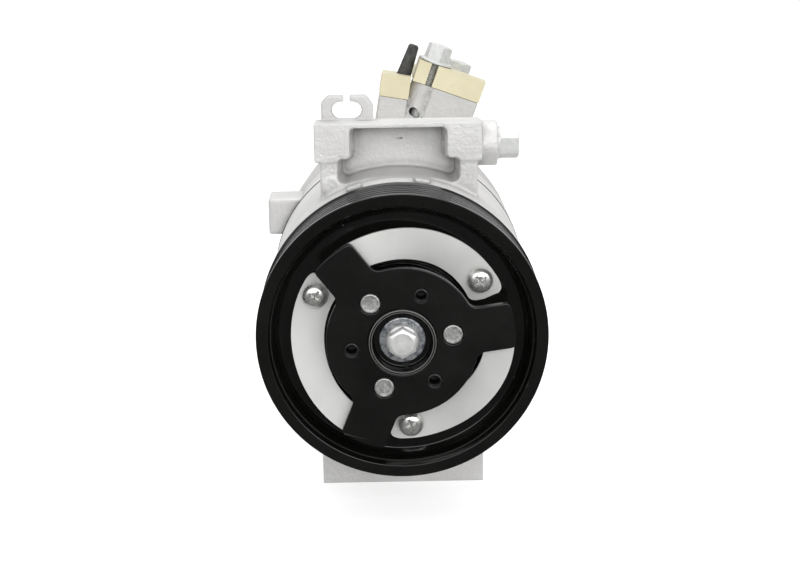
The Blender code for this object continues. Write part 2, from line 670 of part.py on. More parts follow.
def make_rivets():
    for i, angle in enumerate(ARM_ANGLES, 1):
        rivet = rod(f"plate_rivet_{i}", polar(RIVET_CIRCLE, angle, PLATE_FRONT - 0.0001),
                    polar(RIVET_CIRCLE, angle, 0.0025), RIVET_RADIUS, rotor, 20)
        join(rivet, rod(f"rivet_tail_{i}", polar(RIVET_CIRCLE, angle, 0.0019),
                        polar(RIVET_CIRCLE, angle, 0.0029), 0.0047, rotor, 16))
        finish(solid(rivet), SPRING)


def spring_height(share):
    """Front face of a leaf spring, from its screw (0) to its arm (1): flat ends, a smooth rise between."""
    climb = min(1, max(0, (share - 0.14) / 0.72))
    return SPRING_LOW + (SPRING_HIGH - SPRING_LOW) * climb * climb * (3 - 2 * climb)


def make_leaf_springs():
    """Each spring runs from a screw on the pulley's web round and up to a tab under an arm."""
    rows = 15
    for number, arm in enumerate(ARM_ANGLES, 1):
        mesh = bpy.data.meshes.new("spring_sheet")
        shape = bmesh.new()
        before = None
        for i in range(rows):
            share = i / (rows - 1)
            degrees = arm - SCREW_BEFORE_ARM - SCREW_END + share * (SCREW_BEFORE_ARM + SCREW_END + 6)
            end_trim = 0.0016 if i == 0 else 0
            inner = 0.0285 + 0.003 * share + end_trim
            outer = SPRING_OUTER - end_trim
            y = spring_height(share) + SPRING_THICKNESS / 2
            pair = [shape.verts.new(polar(inner, degrees, y)), shape.verts.new(polar(outer, degrees, y))]
            if before:
                shape.faces.new((before[0], before[1], pair[1], pair[0]))
            before = pair
        shape.to_mesh(mesh)
        shape.free()
        spring = place(f"leaf_spring_{number}", mesh, rotor)
        skin = spring.modifiers.new("thickness", "SOLIDIFY")
        skin.thickness = SPRING_THICKNESS
        skin.offset = 0
        tab_outline = [(0.0145, -0.006), (0.036, -0.0065), (0.0405, -0.004), (0.0405, 0.0065),
                       (0.0145, 0.006)]
        turn = radians(arm)
        tab_points = [(p * cos(turn) - q * sin(turn), p * sin(turn) + q * cos(turn))
                      for p, q in tab_outline]
        tab = plate(f"spring_tab_{number}", tab_points, SPRING_HIGH, SPRING_HIGH + SPRING_THICKNESS, rotor)
        join(spring, tab)
        screw_at = arm - SCREW_BEFORE_ARM
        cut(spring,
            rod(f"spring_rivet_hole_{number}", polar(RIVET_CIRCLE, arm, -0.004),
                polar(RIVET_CIRCLE, arm, 0.002), RIVET_RADIUS + GAP, rotor, 16),
            rod(f"spring_screw_hole_{number}", polar(SCREW_CIRCLE, screw_at, 0.004),
                polar(SCREW_CIRCLE, screw_at, 0.012), 0.0028, rotor))
        finish(solid(spring), SPRING)


def make_spring_screws():
    """Pan-head screws: a domed head with a cross recess, and a shank through spring and web."""
    seat = SPRING_LOW - GAP
    head = [(0, seat - 0.0029), (0.0022, seat - 0.0028), (0.0038, seat - 0.0021), (0.0048, seat - 0.0009),
            (0.0049, seat), (0.0025, seat), (0.0025, WEB_BACK - 0.0005), (0, WEB_BACK - 0.0005)]
    for i, arm in enumerate(ARM_ANGLES, 1):
        at = polar(SCREW_CIRCLE, arm - SCREW_BEFORE_ARM)
        screw = turned(f"spring_screw_{i}", head, rotor, 14, at)
        for j, (wide, high) in enumerate(((0.0022, 0.0005), (0.0005, 0.0022)), 1):
            cut(screw, block(f"cross_{i}_{j}", at + Vector((-wide, seat - 0.004, -high)),
                             at + Vector((wide, seat - 0.0014, high)), rotor))
        finish(solid(screw), ZINC)


def make_hub_bolt():
    finish(solid(ring("hub_washer", 0.0043, 0.0087, -0.0019, -0.0007, rotor, 24)), ZINC)
    bolt = rod("hub_bolt", (0, -0.0030, 0), (0, 0.0160, 0), 0.0040, rotor, 16)
    join(bolt,
         rod("hub_bolt_flange", (0, -0.0035, 0), (0, -0.0022, 0), 0.0063, rotor, 24),
         rod("hub_bolt_hex", (0, -0.0034, 0), (0, -0.0080, 0), hexagon(0.010), rotor, 6))
    finish(solid(bolt), ZINC)


def make_shaft():
    profile = [(0, SHAFT_FRONT), (SPLINE_RADIUS, SHAFT_FRONT), (SPLINE_RADIUS, 0.0135), (SHAFT_RADIUS, 0.0140),
               (SHAFT_RADIUS, SHAFT_BACK - 0.001), (SHAFT_RADIUS - 0.001, SHAFT_BACK), (0, SHAFT_BACK)]
    shaft = turned("shaft", profile, rotor, 24)
    cut(shaft, rod("bolt_thread", (0, -0.005, 0), (0, 0.018, 0), 0.0043, rotor, 16))
    finish(solid(shaft), STEEL)
    lug = [(SHAFT_RADIUS + GAP, 0.0546), (0.012, 0.0546), (0.012, 0.0556), (0.036, 0.0556), (0.037, 0.0566),
           (0.037, 0.0600), (0.036, 0.0609), (SHAFT_RADIUS + GAP, 0.0609)]
    finish(solid(turned("lug_plate", lug, rotor, 28)), STEEL)


# ---------------------------------------------------------------- swash plate, pistons and shoes

def make_swash():
    pivot = empty("swash_pivot", (0, SWASH_MIDDLE, 0), base)
    end_angle = asin(SLEEVE_HALF_LENGTH / SLEEVE_BALL)
    dome = arc((0, 0), SLEEVE_BALL, -end_angle, end_angle, 7)
    bore = SHAFT_RADIUS + GAP
    sleeve = [(bore, -SLEEVE_HALF_LENGTH)] + dome + [(bore, SLEEVE_HALF_LENGTH)]
    finish(solid(turned("swash_sleeve", sleeve, pivot, ROUND_MIDDLE)), STEEL)
    half = SWASH_THICKNESS / 2
    profile = [(SLEEVE_BALL + GAP, -half), (SWASH_RADIUS - 0.0005, -half), (SWASH_RADIUS, -half + 0.0005),
               (SWASH_RADIUS, half - 0.0005), (SWASH_RADIUS - 0.0005, half), (SLEEVE_BALL + GAP, half)]
    swash = turned("swash_plate", profile, pivot, ROUND_BIG)
    for side in (-1, 1):
        x = side * 0.006
        join(swash, rod(f"guide_pin_{side}", (x, -half + 0.001, 0.030), (x, -0.024, 0.030), 0.0026, pivot))
    finish(solid(swash), STEEL)


def make_destroke_spring():
    """The coil that pushes the swash plate back to no tilt, between lug plate and sleeve."""
    turns, start, end, mean, wire = 6, 0.0620, 0.0820, 0.0098, 0.0008
    count = turns * 10 + 1
    coil = bpy.data.curves.new("destroke_spring", "CURVE")
    coil.dimensions = "3D"
    coil.bevel_depth = wire
    coil.bevel_resolution = 0
    coil.use_fill_caps = True
    spline = coil.splines.new("POLY")
    spline.points.add(count - 1)
    for i, point in enumerate(spline.points):
        share = i / (count - 1)
        angle = share * turns * 2 * pi
        point.co = (mean * cos(angle), start + (end - start) * share, mean * sin(angle), 1)
    finish(solid(place("destroke_spring", coil, base)), SPRING)


def make_pistons():
    """Five pistons with a C-shaped jaw that holds the swash plate's rim between two shoes."""
    for number, angle in enumerate(PISTON_ANGLES, 1):
        centre = polar(PISTON_CIRCLE, angle, SWASH_MIDDLE)
        seat = empty(f"piston_seat_{number}", centre, base, -radians(angle))
        middle = SWASH_MIDDLE
        piston = rod(f"piston_{number}", (0, PISTON_SKIRT - middle, 0), (0, PISTON_CROWN - middle, 0),
                     BORE_RADIUS - GAP, seat, ROUND_MIDDLE)
        join(piston,
             rod(f"neck_{number}", (0, 0.010, 0), (0, PISTON_SKIRT - middle + 0.001, 0), 0.0088, seat),
             block(f"jaw_{number}", (-0.0090, -0.012, -JAW_HALF_WIDTH), (0.0138, 0.012, JAW_HALF_WIDTH), seat))
        cut(piston,
            block(f"jaw_slot_{number}", (-0.020, -JAW_HALF_SLOT, -0.020), (0.0093, JAW_HALF_SLOT, 0.020), seat),
            ball(f"shoe_pocket_{number}", (0, 0, 0), SHOE_BALL + GAP, seat))
        finish(solid(piston), COATED)
        make_shoes(number, seat)


def make_shoes(number, seat):
    """Two domed shoes on one ball centre, their flats against the swash plate's two faces."""
    start = asin(SHOE_FLAT / SHOE_BALL)
    for side, where in ((-1, "front"), (1, "rear")):
        dome = [(SHOE_BALL * cos(a), side * SHOE_BALL * sin(a))
                for a in (start + (pi / 2 - start) * i / 3 for i in range(3))]
        profile = [(0, side * SHOE_FLAT)] + dome + [(0, side * SHOE_BALL)]
        finish(solid(turned(f"shoe_{number}_{where}", profile, seat, 12)), STEEL)


make_front_housing()
make_cylinder_block()
make_rear_head()
make_valve_plates()
make_seals_and_bearings()
make_bearing()
make_through_bolts()
make_mount_bush()
make_valves()
make_port_caps()
make_pulley()
make_drive_plate()
make_drive_hub()
make_rivets()
make_leaf_springs()
make_spring_screws()
make_hub_bolt()
make_shaft()
make_swash()
make_destroke_spring()
make_pistons()
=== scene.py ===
"""Looks of the swash-plate compressor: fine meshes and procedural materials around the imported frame."""

from math import asin, atan2, cos, pi, radians, sin, sqrt

import bmesh
import bpy
from mathutils import Matrix, Vector


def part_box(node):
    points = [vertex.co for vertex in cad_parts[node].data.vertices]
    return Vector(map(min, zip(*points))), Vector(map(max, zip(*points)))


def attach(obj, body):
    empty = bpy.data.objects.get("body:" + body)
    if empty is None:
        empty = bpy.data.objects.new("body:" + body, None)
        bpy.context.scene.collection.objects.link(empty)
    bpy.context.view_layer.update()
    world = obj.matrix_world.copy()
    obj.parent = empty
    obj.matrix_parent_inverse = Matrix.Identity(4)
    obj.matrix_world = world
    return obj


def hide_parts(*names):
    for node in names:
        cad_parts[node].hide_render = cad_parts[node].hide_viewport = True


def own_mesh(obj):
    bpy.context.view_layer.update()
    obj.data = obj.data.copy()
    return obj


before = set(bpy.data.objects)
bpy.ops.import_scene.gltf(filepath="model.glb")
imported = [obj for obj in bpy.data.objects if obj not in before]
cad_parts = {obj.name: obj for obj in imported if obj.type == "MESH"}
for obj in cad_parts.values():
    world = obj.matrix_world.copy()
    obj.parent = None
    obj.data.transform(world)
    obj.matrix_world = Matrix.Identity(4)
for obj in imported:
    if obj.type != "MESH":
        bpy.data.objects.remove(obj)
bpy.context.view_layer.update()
MM = 0.001

# ------ the frame that pieces are placed in

pulley_low, pulley_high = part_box("pulley")
SHAFT_HEIGHT = (pulley_low[2] + pulley_high[2]) / 2
RIM_Y = pulley_low[1]
PULLEY_RADIUS = (pulley_high[0] - pulley_low[0]) / 2 / MM
PULLEY_WIDTH = (pulley_high[1] - pulley_low[1]) / MM

# Bench frame: millimetres from where the shaft axis meets the pulley's front rim, y backwards
SHAFT_X = (pulley_low[0] + pulley_high[0]) / 2
BENCH = Matrix.Translation((SHAFT_X, RIM_Y, SHAFT_HEIGHT)) @ Matrix.Scale(MM, 4)

# Local z runs back along the shaft, forwards along it, along +x, and out through each port's face
TURNED = BENCH @ Matrix.Rotation(-pi / 2, 4, "X")
FACING = BENCH @ Matrix.Rotation(pi / 2, 4, "X")
SIDEWAYS = Matrix.Rotation(pi / 2, 4, "Y")
PORTS = BENCH @ Matrix.Rotation(radians(20), 4, "Y")
LEFT_PORT = BENCH @ Matrix.Rotation(radians(9.5), 4, "Y")

# The driving dimensions, in bench millimetres and in degrees from +x towards +z
ARM_ANGLES = (8, 128, 248)
THROUGH_BOLT_ANGLES = (18, 90, 162, 234, 306)
CYLINDER_ANGLES = (54, 126, 198, 270, 342)
RIVET_CIRCLE, PULLER_CIRCLE, SCREW_CIRCLE = 19, 19.2, 36
BOLT_CIRCLE, BORE_CIRCLE = 43.5, 32
SCREW_LAG, SPRING_LAG = 93.4, 105.2  # from an arm back to its spring's screw, and to that spring's end
BARREL_RADIUS, HOUSING_BACK, HEAD_FRONT = 53.5, 99.85, 123.3
MOUNT_Y, MOUNT_Z = 50, 65.5
VALVE_Y, VALVE_Z = 184, -10
RELIEF_X, RELIEF_Z = 18, 14

# Places on the right port's face: across it, and along the shaft
FRONT_PORT_BOLT, REAR_PORT_BOLT, PORT_BOSS, CAP_PLUG = (-12.4, 148), (0, 170), (-13.9, 147.7), (-23.9, 150)


def polar(radius, degrees, y=0.0):
    """A bench point at a radius and angle round the shaft."""
    angle = radians(degrees)
    return Vector((radius * cos(angle), y, radius * sin(angle)))


def rotated(points, degrees):
    """Flat points turned about the shaft."""
    turn = radians(degrees)
    return [(p * cos(turn) - q * sin(turn), p * sin(turn) + q * cos(turn)) for p, q in points]


# ------ mesh tools

def new_object(name, data):
    made = bpy.data.objects.new(name, data)
    bpy.context.scene.collection.objects.link(made)
    return made


def from_bmesh(name, shape, matrix):
    bmesh.ops.recalc_face_normals(shape, faces=shape.faces)
    mesh = bpy.data.meshes.new(name)
    shape.to_mesh(mesh)
    shape.free()
    mesh.transform(matrix)
    return new_object(name, mesh)


def arc(centre, radius, start, end, count):
    angles = [start + (end - start) * i / (count - 1) for i in range(count)]
    return [(centre[0] + radius * cos(a), centre[1] + radius * sin(a)) for a in angles]


STRAIGHT = radians(178)
SIDE_SHARE = 0.49  # the most of a side that one corner's arc may take


def rounded(corners, closed=True, steps=4):
    """A polygon of (x, y, radius) corners with each corner replaced by an arc of its radius."""
    points = []
    count = len(corners)
    for i, (x, y, radius) in enumerate(corners):
        at = Vector((x, y))
        before = Vector(corners[i - 1][:2]) - at
        after = Vector(corners[(i + 1) % count][:2]) - at
        angle = before.angle(after, pi)
        if radius <= 0 or angle > STRAIGHT or (not closed and i in (0, count - 1)):
            points.append((x, y))
            continue
        reach = min(radius / max(1e-6, sin(angle / 2) / cos(angle / 2)),
                    before.length * SIDE_SHARE, after.length * SIDE_SHARE)
        radius = reach * sin(angle / 2) / cos(angle / 2)
        middle = at + (before.normalized() + after.normalized()).normalized() * radius / sin(angle / 2)
        first = at + before.normalized() * reach - middle
        last = at + after.normalized() * reach - middle
        for j in range(steps + 1):
            share = j / steps
            spoke = first * (1 - share) + last * share
            points.append(tuple(middle + spoke.normalized() * radius))
    return points


def lathe(name, corners, matrix, steps=128, closed=True):
    """Turns a profile of (radius, height, corner radius) about local z."""
    points = rounded(corners, closed)
    shape = bmesh.new()
    rings = []
    for i in range(steps):
        turn = 2 * pi * i / steps
        rings.append([shape.verts.new((r * cos(turn), r * sin(turn), h)) for r, h in points])
    last = len(points) if closed else len(points) - 1
    for i in range(steps):
        one, two = rings[i], rings[(i + 1) % steps]
        for j in range(last):
            k = (j + 1) % len(points)
            if points[j][0] == 0 and points[k][0] == 0:
                continue
            shape.faces.new((one[j], one[k], two[k], two[j]))
    bmesh.ops.remove_doubles(shape, verts=shape.verts, dist=1e-4)
    bmesh.ops.dissolve_degenerate(shape, edges=shape.edges, dist=1e-5)
    return from_bmesh(name, shape, matrix)


def prism(name, sides, radius, low, high, matrix, turn=0.0, top_radius=None):
    shape = bmesh.new()
    bmesh.ops.create_cone(
        shape, cap_ends=True, segments=sides, radius1=radius,
        radius2=radius if top_radius is None else top_radius, depth=high - low,
        matrix=Matrix.Translation((0, 0, (low + high) / 2)) @ Matrix.Rotation(turn, 4, "Z"),
    )
    return from_bmesh(name, shape, matrix)


def block(name, low, high, matrix):
    low, high = Vector(low), Vector(high)
    shape = bmesh.new()
    bmesh.ops.create_cube(
        shape, size=1,
        matrix=Matrix.Translation((low + high) / 2) @ Matrix.Diagonal((*(high - low), 1)),
    )
    return from_bmesh(name, shape, matrix)


def outline_plate(name, outline, low, high, matrix, holes=(), edge=0.3):
    """A flat outline with holes, made thick from low to high along local z, with rounded edges."""
    flat = bpy.data.curves.new(name, "CURVE")
    flat.dimensions = "2D"
    flat.fill_mode = "BOTH"
    flat.extrude = (high - low) / 2 - edge
    flat.bevel_depth = edge
    flat.bevel_resolution = 2
    flat.offset = -edge
    for points in [outline, *holes]:
        spline = flat.splines.new("POLY")
        spline.points.add(len(points) - 1)
        for point, (x, y) in zip(spline.points, points):
            point.co = (x, y, 0, 1)
        spline.use_cyclic_u = True
    raw = new_object(name, flat)
    bpy.context.view_layer.update()
    mesh = bpy.data.meshes.new_from_object(raw.evaluated_get(bpy.context.evaluated_depsgraph_get()))
    bpy.data.objects.remove(raw, do_unlink=True)
    mesh.transform(matrix @ Matrix.Translation((0, 0, (low + high) / 2)))
    shape = bmesh.new()
    shape.from_mesh(mesh)
    bpy.data.meshes.remove(mesh)
    bmesh.ops.remove_doubles(shape, verts=shape.verts, dist=1e-6)
    return from_bmesh(name, shape, Matrix.Identity(4))


def apply_modifiers(piece):
    bpy.context.view_layer.update()
    graph = bpy.context.evaluated_depsgraph_get()
    mesh = bpy.data.meshes.new_from_object(piece.evaluated_get(graph))
    piece.modifiers.clear()
    piece.data = mesh
    return piece


def combine(piece, others, operation):
    for other in others:
        step = piece.modifiers.new("combine", "BOOLEAN")
        step.operation = operation
        step.solver = "MANIFOLD"
        step.object = other
    apply_modifiers(piece)
    for other in others:
        bpy.data.objects.remove(other, do_unlink=True)
    return piece


def union(piece, *others):
    return combine(piece, others, "UNION")


def minus(piece, *others):
    return combine(piece, others, "DIFFERENCE")


def common(piece, *others):
    return combine(piece, others, "INTERSECT")


def soften(piece, voxel, passes):
    """Melts a solid's edges into the small radii of a casting."""
    melt = piece.modifiers.new("voxels", "REMESH")
    melt.mode = "VOXEL"
    melt.voxel_size = voxel * MM
    smooth = piece.modifiers.new("smooth", "SMOOTH")
    smooth.factor = 0.5
    smooth.iterations = passes
    return apply_modifiers(piece)


def bevelled(piece, width, segments=3, angle=35):
    bevel = piece.modifiers.new("bevel", "BEVEL")
    bevel.width = width * MM
    bevel.segments = segments
    bevel.limit_method = "ANGLE"
    bevel.angle_limit = radians(angle)
    return apply_modifiers(piece)


def joined(name, pieces):
    """One mesh from several, without a boolean."""
    shape = bmesh.new()
    for piece in pieces:
        shape.from_mesh(piece.data)
        bpy.data.objects.remove(piece, do_unlink=True)
    mesh = bpy.data.meshes.new(name)
    shape.to_mesh(mesh)
    shape.free()
    return new_object(name, mesh)


DENSE = 60000  # faces from which weighted normals no longer show


def piece(made, look, body, *nodes, sharp=32):
    """Finishes a piece: its look, its shading, the body it rides on and the nodes it stands for."""
    made.data.materials.clear()
    made.data.materials.append(look)
    made.data.shade_smooth()
    made.data.set_sharp_from_angle(angle=radians(sharp))
    if len(made.data.polygons) < DENSE:
        even = made.modifiers.new("even", "WEIGHTED_NORMAL")
        even.keep_sharp = True
        apply_modifiers(made)
    made.name = nodes[0] + "_shape"
    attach(made, body)
    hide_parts(*nodes)
    return made


# ------ materials

def set_sockets(node, **values):
    """Puts constants on a node's sockets; an underscore in a key stands for a space."""
    for key, value in values.items():
        node.inputs[key.replace("_", " ")].default_value = value
    return node


def add_node(tree, kind, **values):
    return set_sockets(tree.nodes.new("ShaderNode" + kind), **values)


class Look:
    """A procedural material on a Principled shader, with short calls for its texture nodes."""

    def __init__(self, name, slot, **fixed):
        self.material = bpy.data.materials.new(name)
        self.material.use_nodes = True
        self.tree = self.material.node_tree
        self.shader = set_sockets(self.tree.nodes["Principled BSDF"], **fixed)
        self.place = self.add("TexCoord").outputs["Object"]
        self.height = None

    def add(self, kind, **values):
        return add_node(self.tree, kind, **values)

    def link(self, one, two):
        self.tree.links.new(one, two)

    def mapped(self, **values):
        """The object's own coordinates, moved or scaled."""
        node = self.add("Mapping", **values)
        self.link(self.place, node.inputs["Vector"])
        return node.outputs["Vector"]

    def noise(self, scale, detail=3.0, roughness=0.5, stretch=None):
        node = self.add("TexNoise", Scale=scale, Detail=detail, Roughness=roughness)
        self.link(self.mapped(Scale=stretch) if stretch else self.place, node.inputs["Vector"])
        return node.outputs["Fac"]

    def voronoi(self, scale):
        node = self.add("TexVoronoi", Scale=scale)
        self.link(self.place, node.inputs["Vector"])
        return node.outputs["Distance"]

    def ramp(self, value, low, high, start=0.0, end=1.0):
        """Maps low..high of a value onto start..end."""
        node = self.add("MapRange", From_Min=low, From_Max=high, To_Min=start, To_Max=end)
        self.link(value, node.inputs["Value"])
        return node.outputs["Result"]

    def math(self, operation, one, two):
        node = self.add("Math")
        node.operation = operation
        for socket, value in zip(node.inputs, (one, two)):
            if isinstance(value, (int, float)):
                socket.default_value = value
            else:
                self.link(value, socket)
        return node.outputs["Value"]

    def mix(self, factor, one, two):
        node = self.add("Mix")
        node.data_type = "RGBA"
        self.link(factor, node.inputs["Factor"])
        for key, value in (("A", one), ("B", two)):
            socket = [s for s in node.inputs if s.name == key and s.type == "RGBA"][0]
            if isinstance(value, tuple):
                socket.default_value = (*value, 1)
            else:
                self.link(value, socket)
        return [s for s in node.outputs if s.type == "RGBA"][0]

    def edges(self, low, high):
        """How far the surface is an outer edge, from the mesh's own curvature: a mask for edges that are
        partly rubbed coat and partly painted highlight.
        """
        return self.ramp(self.add("NewGeometry").outputs["Pointiness"], low, high)

    def ring(self, centre, radius, half):
        """A thin line at one radius about an axis along y through centre, given in bench millimetres."""
        axis = BENCH @ centre
        length = self.add("VectorMath")
        length.operation = "LENGTH"
        self.link(self.mapped(Location=(-axis.x, 0, -axis.z), Scale=(1, 0, 1)), length.inputs[0])
        away = self.math("ABSOLUTE", self.math("SUBTRACT", length.outputs["Value"], radius * MM), 0)
        return self.ramp(away, half, 2 * half, 1, 0)

    def corner_shade_mask(self, reach, low, high):
        """How open the surface is: 0 deep in a corner, 1 in the open; it masks painted shade in corners."""
        node = self.add("AmbientOcclusion", Distance=reach)
        node.samples = 8
        node.only_local = True
        return self.ramp(node.outputs["AO"], low, high)

    def colour(self, value):
        self.link(value, self.shader.inputs["Base Color"])

    def roughness(self, value):
        self.link(value, self.shader.inputs["Roughness"])

    def bump(self, value, distance, strength):
        node = self.add("Bump", Distance=distance, Strength=strength)
        self.link(value, node.inputs["Height"])
        if self.height:
            self.link(self.height, node.inputs["Normal"])
        self.height = node.outputs["Normal"]
        self.link(self.height, self.shader.inputs["Normal"])


def cast_look(name="cast aluminium", light=(0.80, 0.795, 0.785), dark=(0.64, 0.635, 0.625), shade_above_hook=1.0):
    """Die-cast aluminium: fine sandy grain, faint clouds, small pits and painted shade in its inner corners.

    A factor below 1 is painted shade: what stands above the clip hook's foot takes a flat tone, that share of
    the light tone.
    """
    look = Look(name, "cast_aluminium", Metallic=0.45, Specular_IOR_Level=0.4)
    clouds = look.noise(38, 4, 0.55)
    grain = look.noise(1500, 2, 0.6)
    pits = look.ramp(look.voronoi(420), 0.0, 0.10)
    tone = look.mix(look.ramp(clouds, 0.35, 0.68), dark, light)
    tone = look.mix(look.ramp(grain, 0.30, 0.62), tuple(0.84 * c for c in light), tone)
    # painted shade: ambient occlusion darkens inner corners and the recess's edges towards half the dark tone
    tone = look.mix(look.corner_shade_mask(4.5 * MM, 0.50, 0.97), tuple(0.50 * c for c in dark), tone)
    # painted shade: above the clip hook's foot the colour becomes a flat, darker share of the light tone
    if shade_above_hook < 1:
        split = look.add("SeparateXYZ")
        look.link(look.place, split.inputs["Vector"])
        above = look.ramp(split.outputs["Z"], HOOK_FOOT, HOOK_FOOT + 2 * MM)
        tone = look.mix(above, tone, tuple(shade_above_hook * c for c in light))
    look.colour(tone)
    look.roughness(look.ramp(grain, 0.25, 0.75, 0.46, 0.62))
    look.bump(look.noise(640, 3, 0.65), 0.00040, 0.8)
    look.bump(pits, 0.00010, 0.4)
    look.bump(grain, 0.00008, 0.7)
    return look.material


def black_look(name="black coat", low=0.16, high=0.28, rings=()):
    """Glossy black electro-coat: slight orange peel, dust specks, paler edges that are partly rubbed coat and
    partly painted highlight, and thin rings of painted highlight.
    """
    look = Look(name, "black_coated_steel", Specular_IOR_Level=0.48)
    specks = look.ramp(look.voronoi(95), 0.016, 0.030, 1.0, 0.0)
    haze = look.noise(45, 4, 0.6)
    tone = look.mix(look.ramp(haze, 0.35, 0.75), (0.0030, 0.0030, 0.0028), (0.0055, 0.0055, 0.0050))
    dust = look.math("MULTIPLY", specks, look.ramp(look.noise(240, 1), 0.55, 0.62))
    tone = look.mix(dust, tone, (0.20, 0.20, 0.19))
    # paler convex edges: partly rubbed coat, partly painted highlight
    tone = look.mix(look.edges(0.58, 0.70), tone, (0.03, 0.03, 0.028))
    # thin rings of painted highlight, each a pale line at one radius
    for centre, radius, shade in rings:
        tone = look.mix(look.ring(centre, radius, 0.10 * MM), tone, (shade, shade, 0.96 * shade))
    look.colour(tone)
    look.roughness(look.ramp(haze, 0.3, 0.75, low, high))
    look.bump(look.noise(520, 2, 0.5), 0.00002, 0.35)
    return look.material


def spring_look():
    """Rolled spring steel: pale, satin, with fine rolling lines and faint smudges."""
    look = Look("rolled spring steel", "spring_steel", Metallic=0.35)
    lines = look.noise(300, 2, 0.5, stretch=(1, 1, 14))
    smudges = look.noise(40, 3, 0.6)
    look.colour(look.mix(look.ramp(smudges, 0.3, 0.7), (0.50, 0.505, 0.49), (0.575, 0.58, 0.565)))
    satin = look.ramp(smudges, 0.3, 0.7, 0.52, 0.60)
    look.roughness(look.math("ADD", satin, look.ramp(lines, 0, 1, -0.03, 0.03)))
    look.bump(lines, 0.000008, 0.5)
    return look.material


def rivet_look():
    """Pressed rivet heads: dull, mottled steel."""
    look = Look("rivet steel", "spring_steel", Metallic=0.85)
    mottle = look.noise(900, 4, 0.65)
    look.colour(look.mix(look.ramp(mottle, 0.35, 0.65), (0.34, 0.34, 0.335), (0.60, 0.60, 0.585)))
    look.roughness(look.ramp(mottle, 0.3, 0.7, 0.34, 0.55))
    look.bump(mottle, 0.00004, 0.6)
    return look.material


def zinc_look(name, low, high, pale, dull, metal):
    """Zinc plate with slightly cloudy patches, its roughness running from low to high."""
    look = Look(name, "zinc_plated_steel", Metallic=metal)
    clouds = look.noise(260, 4, 0.6)
    look.colour(look.mix(look.ramp(clouds, 0.35, 0.65), dull, pale))
    look.roughness(look.ramp(clouds, 0.3, 0.7, low, high))
    look.bump(look.noise(1400, 2, 0.5), 0.00001, 0.5)
    return look.material


def matte_look():
    """Dull zinc flake: pale and even, hardly mirroring anything."""
    look = Look("matte zinc", "zinc_plated_steel", Metallic=0.35)
    clouds = look.noise(500, 4, 0.6)
    look.colour(look.mix(look.ramp(clouds, 0.35, 0.65), (0.60, 0.61, 0.60), (0.70, 0.71, 0.695)))
    look.roughness(look.ramp(clouds, 0.3, 0.7, 0.42, 0.58))
    look.bump(clouds, 0.00003, 0.4)
    return look.material


def washer_look():
    """A washer with smeared thread-locking compound: blue-grey mottling over steel."""
    look = Look("smeared washer", "zinc_plated_steel", Metallic=0.75)
    smear = look.noise(420, 5, 0.7)
    look.colour(look.mix(look.ramp(smear, 0.40, 0.60), (0.09, 0.105, 0.13), (0.52, 0.53, 0.54)))
    look.roughness(look.ramp(smear, 0.35, 0.65, 0.55, 0.22))
    look.bump(smear, 0.00008, 0.6)
    return look.material


def ivory_look():
    """Moulded ivory plastic: satin, a little translucent, with a faint moulding texture."""
    look = Look("ivory plastic", "ivory_plastic", Specular_IOR_Level=0.4, Subsurface_Weight=0.12,
                Subsurface_Radius=(0.004, 0.003, 0.0015))
    tone = look.noise(70, 3, 0.5)
    look.colour(look.mix(look.ramp(tone, 0.35, 0.7), (0.615, 0.565, 0.385), (0.67, 0.62, 0.435)))
    look.roughness(look.ramp(look.noise(500, 2), 0.3, 0.7, 0.38, 0.52))
    look.bump(look.noise(900, 2, 0.5), 0.00002, 0.4)
    return look.material


def rubber_look():
    """Dusty black rubber."""
    look = Look("black rubber", "black_rubber", Specular_IOR_Level=0.25)
    dust = look.noise(330, 4, 0.65)
    look.colour(look.mix(look.ramp(dust, 0.4, 0.75), (0.045, 0.045, 0.043), (0.10, 0.10, 0.095)))
    look.roughness(look.ramp(dust, 0.3, 0.7, 0.62, 0.85))
    look.bump(look.noise(1100, 3, 0.6), 0.00005, 0.5)
    return look.material


def ground_look():
    """Ground steel of the inner pieces: bright with fine turning lines."""
    look = Look("ground steel", "ground_steel", Metallic=1.0)
    lines = look.noise(420, 2, 0.5, stretch=(1, 12, 1))
    look.colour(look.mix(look.ramp(lines, 0.3, 0.7), (0.44, 0.44, 0.45), (0.58, 0.58, 0.585)))
    look.roughness(look.ramp(lines, 0.3, 0.7, 0.16, 0.32))
    look.bump(lines, 0.000008, 0.5)
    return look.material


def piston_look():
    """Dry-film coating on aluminium pistons: dark grey, softly mottled."""
    look = Look("piston coat", "coated_piston", Metallic=0.2)
    mottle = look.noise(200, 4, 0.6)
    look.colour(look.mix(look.ramp(mottle, 0.35, 0.7), (0.10, 0.10, 0.105), (0.20, 0.20, 0.21)))
    look.roughness(look.ramp(mottle, 0.3, 0.7, 0.42, 0.6))
    look.bump(mottle, 0.00002, 0.5)
    return look.material


HOOK_FOOT = SHAFT_HEIGHT + 74.6 * MM
MIDDLE = Vector((0, 0, 0))
# painted shade: above the clip hook's foot the tone is flat and darker
CAST = cast_look(shade_above_hook=0.74)
# a darker copy of the cast look for the rear head: painted shade, the same casting under less light
CAST_SHADED = cast_look("cast aluminium head painted shade", (0.67, 0.665, 0.65), (0.54, 0.535, 0.52))
BLACK = black_look()
# painted highlight: a faint bright ring near the rim's inner edge
BLACK_PULLEY = black_look("black pulley coat", 0.09, 0.17, [(MIDDLE, 49.6, 0.030)])
# painted highlight: two bright rings round the boss ring's crown
BLACK_HUB = black_look("black hub coat", 0.14, 0.24, [(MIDDLE, 12.45, 0.14), (MIDDLE, 11.6, 0.10)])
